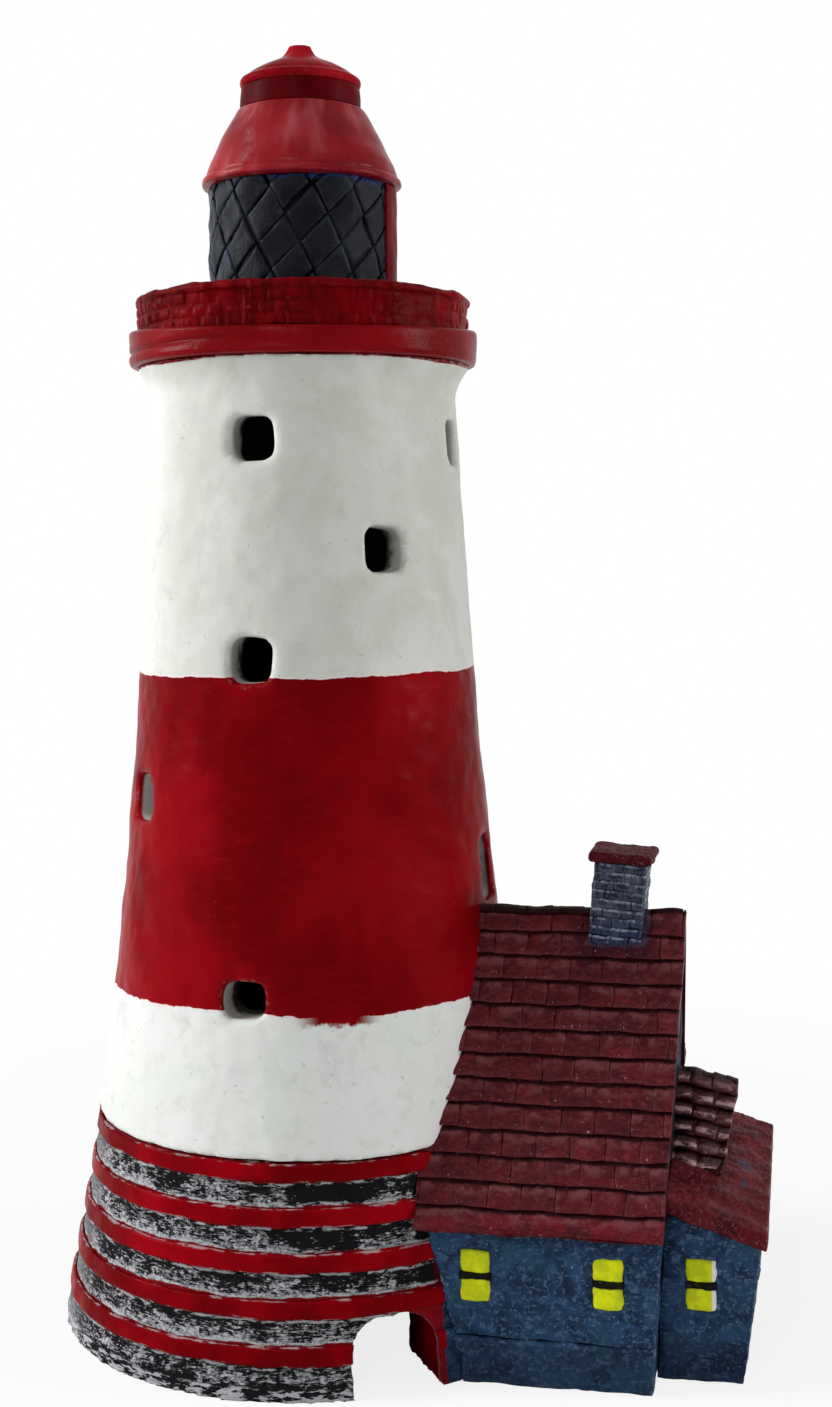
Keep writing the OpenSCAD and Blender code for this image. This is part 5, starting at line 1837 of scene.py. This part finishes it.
    def roof_slab(self, pitch: float, rise: float) -> Thing:
        """Returns the bare roof under the tiles, from inside the tower's wall to the verge."""
        low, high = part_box("cottage_roof")
        x0, x1 = low.x + 2 * MM, high.x
        drop = self.slab_mm / math.cos(pitch)
        ridge, eave, back = self.ridge_mm * MM, self.eave_mm * MM, (2 * self.ridge_mm - self.eave_mm) * MM
        z0, z1 = self.eave_z_mm * MM, (self.eave_z_mm + rise - 0.2) * MM
        inner = drop / math.tan(pitch) * MM
        section = [(eave + 0.5 * MM, z0), (ridge, z1), (back - 0.5 * MM, z0), (back - inner, z0),
                   (ridge, z1 - drop * MM), (eave + inner, z0)]
        points = [(x, y, z) for x in (x0, x1) for y, z in section]
        faces = [(i, i + 6, (i + 1) % 6 + 6, (i + 1) % 6) for i in range(6)]
        faces += [(0, 1, 4, 5), (1, 2, 3, 4), (11, 10, 7, 6), (10, 9, 8, 7)]
        return mesh_object("roof_slab", points, faces)

    def make_stack(self, shop: Workshop) -> None:
        """Builds the chimney stack with small bricks laid on its four faces."""
        top = Vector((AXIS + self.stack_x_mm * MM, self.stack_y_mm * MM, self.ridge_z_mm * MM))
        half = Vector((self.stack_w_mm / 2 * MM, self.stack_d_mm / 2 * MM, 0))
        rise, fall = self.stack_rise_mm * MM, self.stack_fall_mm * MM
        inset = 0.35 * MM
        course, brick = self.brick_course_mm * MM, self.brick_mm * MM
        parts: list[Thing] = []
        rows = int((rise + fall) / course) + 1
        for number, (x, y) in enumerate(((1, 0), (0, 1), (-1, 0), (0, -1))):
            along, out = Vector((x, y, 0)), Vector((y, -x, 0))

            def corner(u: float, v: float) -> Vector:
                """Returns a place on the brick."""
                return along * (u * brick * 0.49) + Vector((0, 0, v * course * 0.46))

            face = pillow("stack_brick", corner, lambda u, v: out, 0.3, 0.5, cells=(5, 4), power=6, rim=0.2)
            count = int(abs(along.dot(half)) * 2 / brick) + 2
            start = Vector((0, 0, rise - course / 2)) + out * (abs(out.dot(half)) - 0.3 * MM)
            start -= along * (brick * (count - 1) / 2 + brick * 0.25)
            parts.append(shop.line.lay(face, Layout(
                count, rows, start=tuple(start), row_offset=(0.0, 0.0, -course), along=tuple(along * brick),
                turn_jitter=0.02, size_jitter=0.03, seed=20 + number)))
        core_low, core_high = (inset - half.x, inset - half.y, -fall), (half.x - inset, half.y - inset, rise)
        stack = joined("chimney_stack_casting", parts + [slab("stack_core", core_low, core_high)])
        low, high = Vector((-half.x, -half.y, -fall)), Vector((half.x, half.y, rise))
        cut_off(stack, [(low, Vector((1, 0, 0))), (low, Vector((0, 1, 0))), (high, Vector((-1, 0, 0))),
                        (high, Vector((0, -1, 0))), (high, Vector((0, 0, -1)))])
        stack.data.transform(Matrix.Translation(top) @ Matrix.Rotation(self.stack_lean, 4, "Y"))
        shop.dress(self.stack_skin.roughen(stack), BRICK, "blue_brick", "chimney_stack")

    def make_dormer(self, shop: Workshop) -> None:
        """Builds the dormer roof: deep, glossy tiles laid on both slopes of its stepped solid."""
        fall, pitch = math.radians(self.dormer_fall), math.radians(self.dormer_pitch)
        course = self.dormer_course_mm
        ahead = Vector((math.cos(fall), 0, -math.sin(fall)))
        high = Vector((math.sin(fall), 0, math.cos(fall)))
        ridge_x = AXIS + (self.dormer_x_mm + self.dormer_z_mm * math.tan(GABLE_LEAN)) * MM
        ridge = Vector((ridge_x, self.dormer_y_mm * MM, self.dormer_z_mm * MM))
        length = self.dormer_length_mm * MM
        parts = [copy_of("dormer_roof", "dormer_core")]
        for side in (-1, 1):
            up = Vector((0, -side * math.cos(pitch), 0)) + high * math.sin(pitch)
            out = (ahead * -side).cross(up)
            end = ahead * length if side > 0 else Vector()
            foot = ridge - up * (6.5 * course * MM) - out * (0.15 * MM) + end
            tiles = TiledSlope(foot - ahead * (-side * 14 * MM), ahead * -side, up, 8, 7, 5.2, course,
                               step_mm=1.3, round_mm=0.6, depth_mm=1.0, drift=0.3, turn=0.07,
                               seed=31 + side, power=4.5, rim=0.25)
            parts.append(tiles.lay("dormer_tiles", shop.line))
        dormer = joined("dormer_roof_casting", parts)
        wall = Vector((math.cos(GABLE_LEAN), 0, -math.sin(GABLE_LEAN)))
        cut_off(dormer, [(ridge + ahead * length, -ahead), (Vector((AXIS + 85.4 * MM, 0, 0)), wall)])
        shop.dress(self.dormer_skin.roughen(dormer), MAROON_GLOSS, "maroon_tile", "dormer_roof")

    def make_windows(self, shop: Workshop) -> None:
        """Builds the painted panes and the bars across them."""
        for node, finish in (("main_window_left", YELLOW), ("main_window_right", YELLOW),
                             ("wing_window", YELLOW_WHITE), ("side_window", YELLOW)):
            shop.dress(self.pane_pair(node), finish, "yellow_pane", node)
        shop.recast("glazing_bars", "glazing_bar_castings", self.bar_skin, BLACK, "black_bar")

    def pane_pair(self, node: str) -> Thing:
        """Returns two soft, hand-painted panes in the place of a window's plain ones."""
        bar = 1.1 * MM
        centre = Vector(np.array([vertex.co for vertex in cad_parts[node].data.vertices]).mean(0))
        low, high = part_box(node)
        deep, wide, tall = high.x - low.x, high.y - low.y, high.z - low.z
        sideways = deep < wide
        lean = math.atan2(deep - 0.6 * MM, tall) if sideways else 0.0
        up = Vector((math.sin(lean), 0, math.cos(lean)))
        along = Vector((0, 1, 0)) if sideways else Vector((1, 0, 0))
        out = along.cross(up).normalized()
        half_w = (wide if sideways else deep) / 2
        half_h = ((tall / math.cos(lean) if sideways else tall) - bar) / 4
        parts: list[Thing] = []
        for sign in (-1, 1):
            middle = centre + up * (sign * (half_h + bar / 2))

            def corner(u: float, v: float) -> Vector:
                """Returns a place on the pane, with its corners rounded and its rim drawn by hand."""
                place = along * (u * half_w) + up * (v * half_h)
                return middle + place * self.ragged(u, v, middle)

            pane = pillow("pane", corner, lambda u, v: out, 0.8, 0.3, cells=(12, 12), power=8, rim=0.3)
            parts.append(pane)
        return joined(node + "_paint", parts)

    def ragged(self, u: float, v: float, at: Vector) -> float:
        """Returns how far the painted pane reaches at u and v, as a share of the plain one."""
        square = max(abs(u), abs(v), 1e-6)
        away = math.hypot(u, v)
        round_off = 1.0 - 0.10 * max(0.0, away / square - 1.0) / 0.414 * square ** 4
        waves = noise.noise(Vector((u * 1.6 + at.x * 900, v * 1.6 + at.z * 900, 0.3)))
        return round_off * (1.0 + 0.09 * square ** 3 * waves)


# Stage


@dataclass(frozen=True)
class Lamp:
    """A square lamp of the studio: its place and size in metres and its power in watts."""

    name: str
    place: Triple
    size: float
    power: float


def seen(g: Graph) -> Value:
    """Returns 1 for rays of the camera, of reflections and through clear things, and 0 for light."""
    path = g.node("ShaderNodeLightPath")
    bent = g.take(path, "Is Glossy Ray") + g.take(path, "Is Transmission Ray")
    return g.math("ADD", g.take(path, "Is Camera Ray"), bent, clamp=True)


@dataclass(frozen=True)
class Studio:
    """The floor, the light and the camera of the photograph."""

    turn: float = 15.0
    distance: float = 0.4563
    height: float = 0.1825
    pitch: float = 0.0802
    yaw: float = 0.0567
    roll: float = -0.0084
    focal_px: float = 1903.2
    frame_px: float = 1407.0
    sensor_mm: float = 36.0
    floor_reach: float = 3.0
    floor_grey: float = 0.86
    shadow_reach: float = 0.42
    shadow_depth: float = 0.18
    ambient: float = 0.3
    aim: Triple = (0.0, 0.0, 0.13)
    lamps: tuple[Lamp, ...] = (
        Lamp("left_lamp", (-0.88, -0.24, 0.52), 0.3, 7.6),
        Lamp("left_glint", (-0.66, -0.14, 0.86), 0.12, 1.3),
        Lamp("right_lamp", (0.95, 0.05, 0.45), 0.3, 4.6),
        Lamp("front_lamp", (-0.1, -1.1, 0.8), 0.12, 2.7))

    def make(self) -> None:
        """Sets up the whole stage."""
        self.make_camera()
        self.make_floor()
        self.make_world()
        self.make_lamps()
        bpy.context.scene.view_settings.view_transform = "Standard"

    def make_camera(self) -> None:
        """Places the camera where the photograph was taken from."""
        c, s = math.cos(self.yaw), math.sin(self.yaw)
        cp, sp = math.cos(self.pitch), math.sin(self.pitch)
        cr, sr = math.cos(self.roll), math.sin(self.roll)
        right, ahead = Vector((c, -s, 0)), Vector((cp * s, cp * c, -sp))
        up = Vector((sp * s, sp * c, cp))
        spin = Matrix.Rotation(math.radians(self.turn), 3, "Z")
        columns = [spin @ side for side in (right * cr + up * sr, up * cr - right * sr, -ahead)]
        place = spin @ Vector((0, -self.distance, self.height)) + Vector((AXIS, 0, 0))
        data = bpy.data.cameras.new("view")
        data.sensor_fit = "VERTICAL"
        data.sensor_height = self.sensor_mm
        data.lens = self.sensor_mm * self.focal_px / self.frame_px
        data.clip_start = 0.01
        camera = linked("view", data)
        camera.matrix_world = Matrix.Translation(place) @ Matrix(columns).transposed().to_4x4()
        bpy.context.scene.camera = camera

    def make_floor(self) -> None:
        """Lays the pale floor, which the camera sees as near-white with the object's shadow."""
        far = self.floor_reach
        corners = [(-far, -far, 0), (far, -far, 0), (far, far, 0), (-far, far, 0)]
        floor = mesh_object("floor", corners, [(0, 1, 2, 3)])
        paint = bpy.data.materials.new("pale_floor")
        paint.use_nodes = True
        paint.node_tree.nodes.clear()
        g = Graph(paint.node_tree)
        glow = g.node("ShaderNodeEmission", (1.0, 1.0, 1.0), 1.0)
        grey = g.node("ShaderNodeBsdfDiffuse", (self.floor_grey,) * 3)
        away = g.vector("LENGTH", g.take(g.node("ShaderNodeTexCoord"), "Object"))
        near = away.ease(self.shadow_reach, self.shadow_reach * 0.35, 0.0, self.shadow_depth)
        both = g.node("ShaderNodeMixShader", seen(g).between(1.0, near))
        g.link(glow, both, 1)
        g.link(grey, both, 2)
        g.link(both, g.node("ShaderNodeOutputMaterial"), "Surface")
        floor.data.materials.append(paint)

    def make_world(self) -> None:
        """Makes the world white to the eye and in reflections, and a soft light on the object."""
        world = bpy.data.worlds.new("studio")
        bpy.context.scene.world = world
        world.use_nodes = True
        world.node_tree.nodes.clear()
        g = Graph(world.node_tree)
        back = g.node("ShaderNodeBackground", (1.0, 1.0, 1.0), seen(g).between(self.ambient, 1.0))
        g.link(back, g.node("ShaderNodeOutputWorld"), "Surface")

    def make_lamps(self) -> None:
        """Hangs a broad lamp and a small glint on the left, a weaker lamp on the right and one in front."""
        for lamp in self.lamps:
            data = bpy.data.lights.new(lamp.name, "AREA")
            data.shape = "SQUARE"
            data.size = lamp.size
            data.energy = lamp.power
            hung = linked(lamp.name, data)
            hung.location = lamp.place
            towards = Vector(self.aim) - Vector(lamp.place)
            hung.rotation_euler = towards.to_track_quat("-Z", "Y").to_euler()


def main() -> None:
    """Fixes the drift's noise, then builds the stage, the paints and every sub-assembly in order."""
    logging.basicConfig(level=logging.INFO, format="%(name)s: %(message)s")
    noise.seed_set(DRIFT_SEED)
    Studio().make()
    shop = Workshop(PaintShelf(), ring=CourseTree("Courses Round An Axis", ring=True),
                    line=CourseTree("Courses Along A Line", ring=False))
    for part in (StoneBase(), Shaft(), Gallery(), Lantern(), Cottage()):
        part.make(shop)


if __name__ == "__main__":
    main()
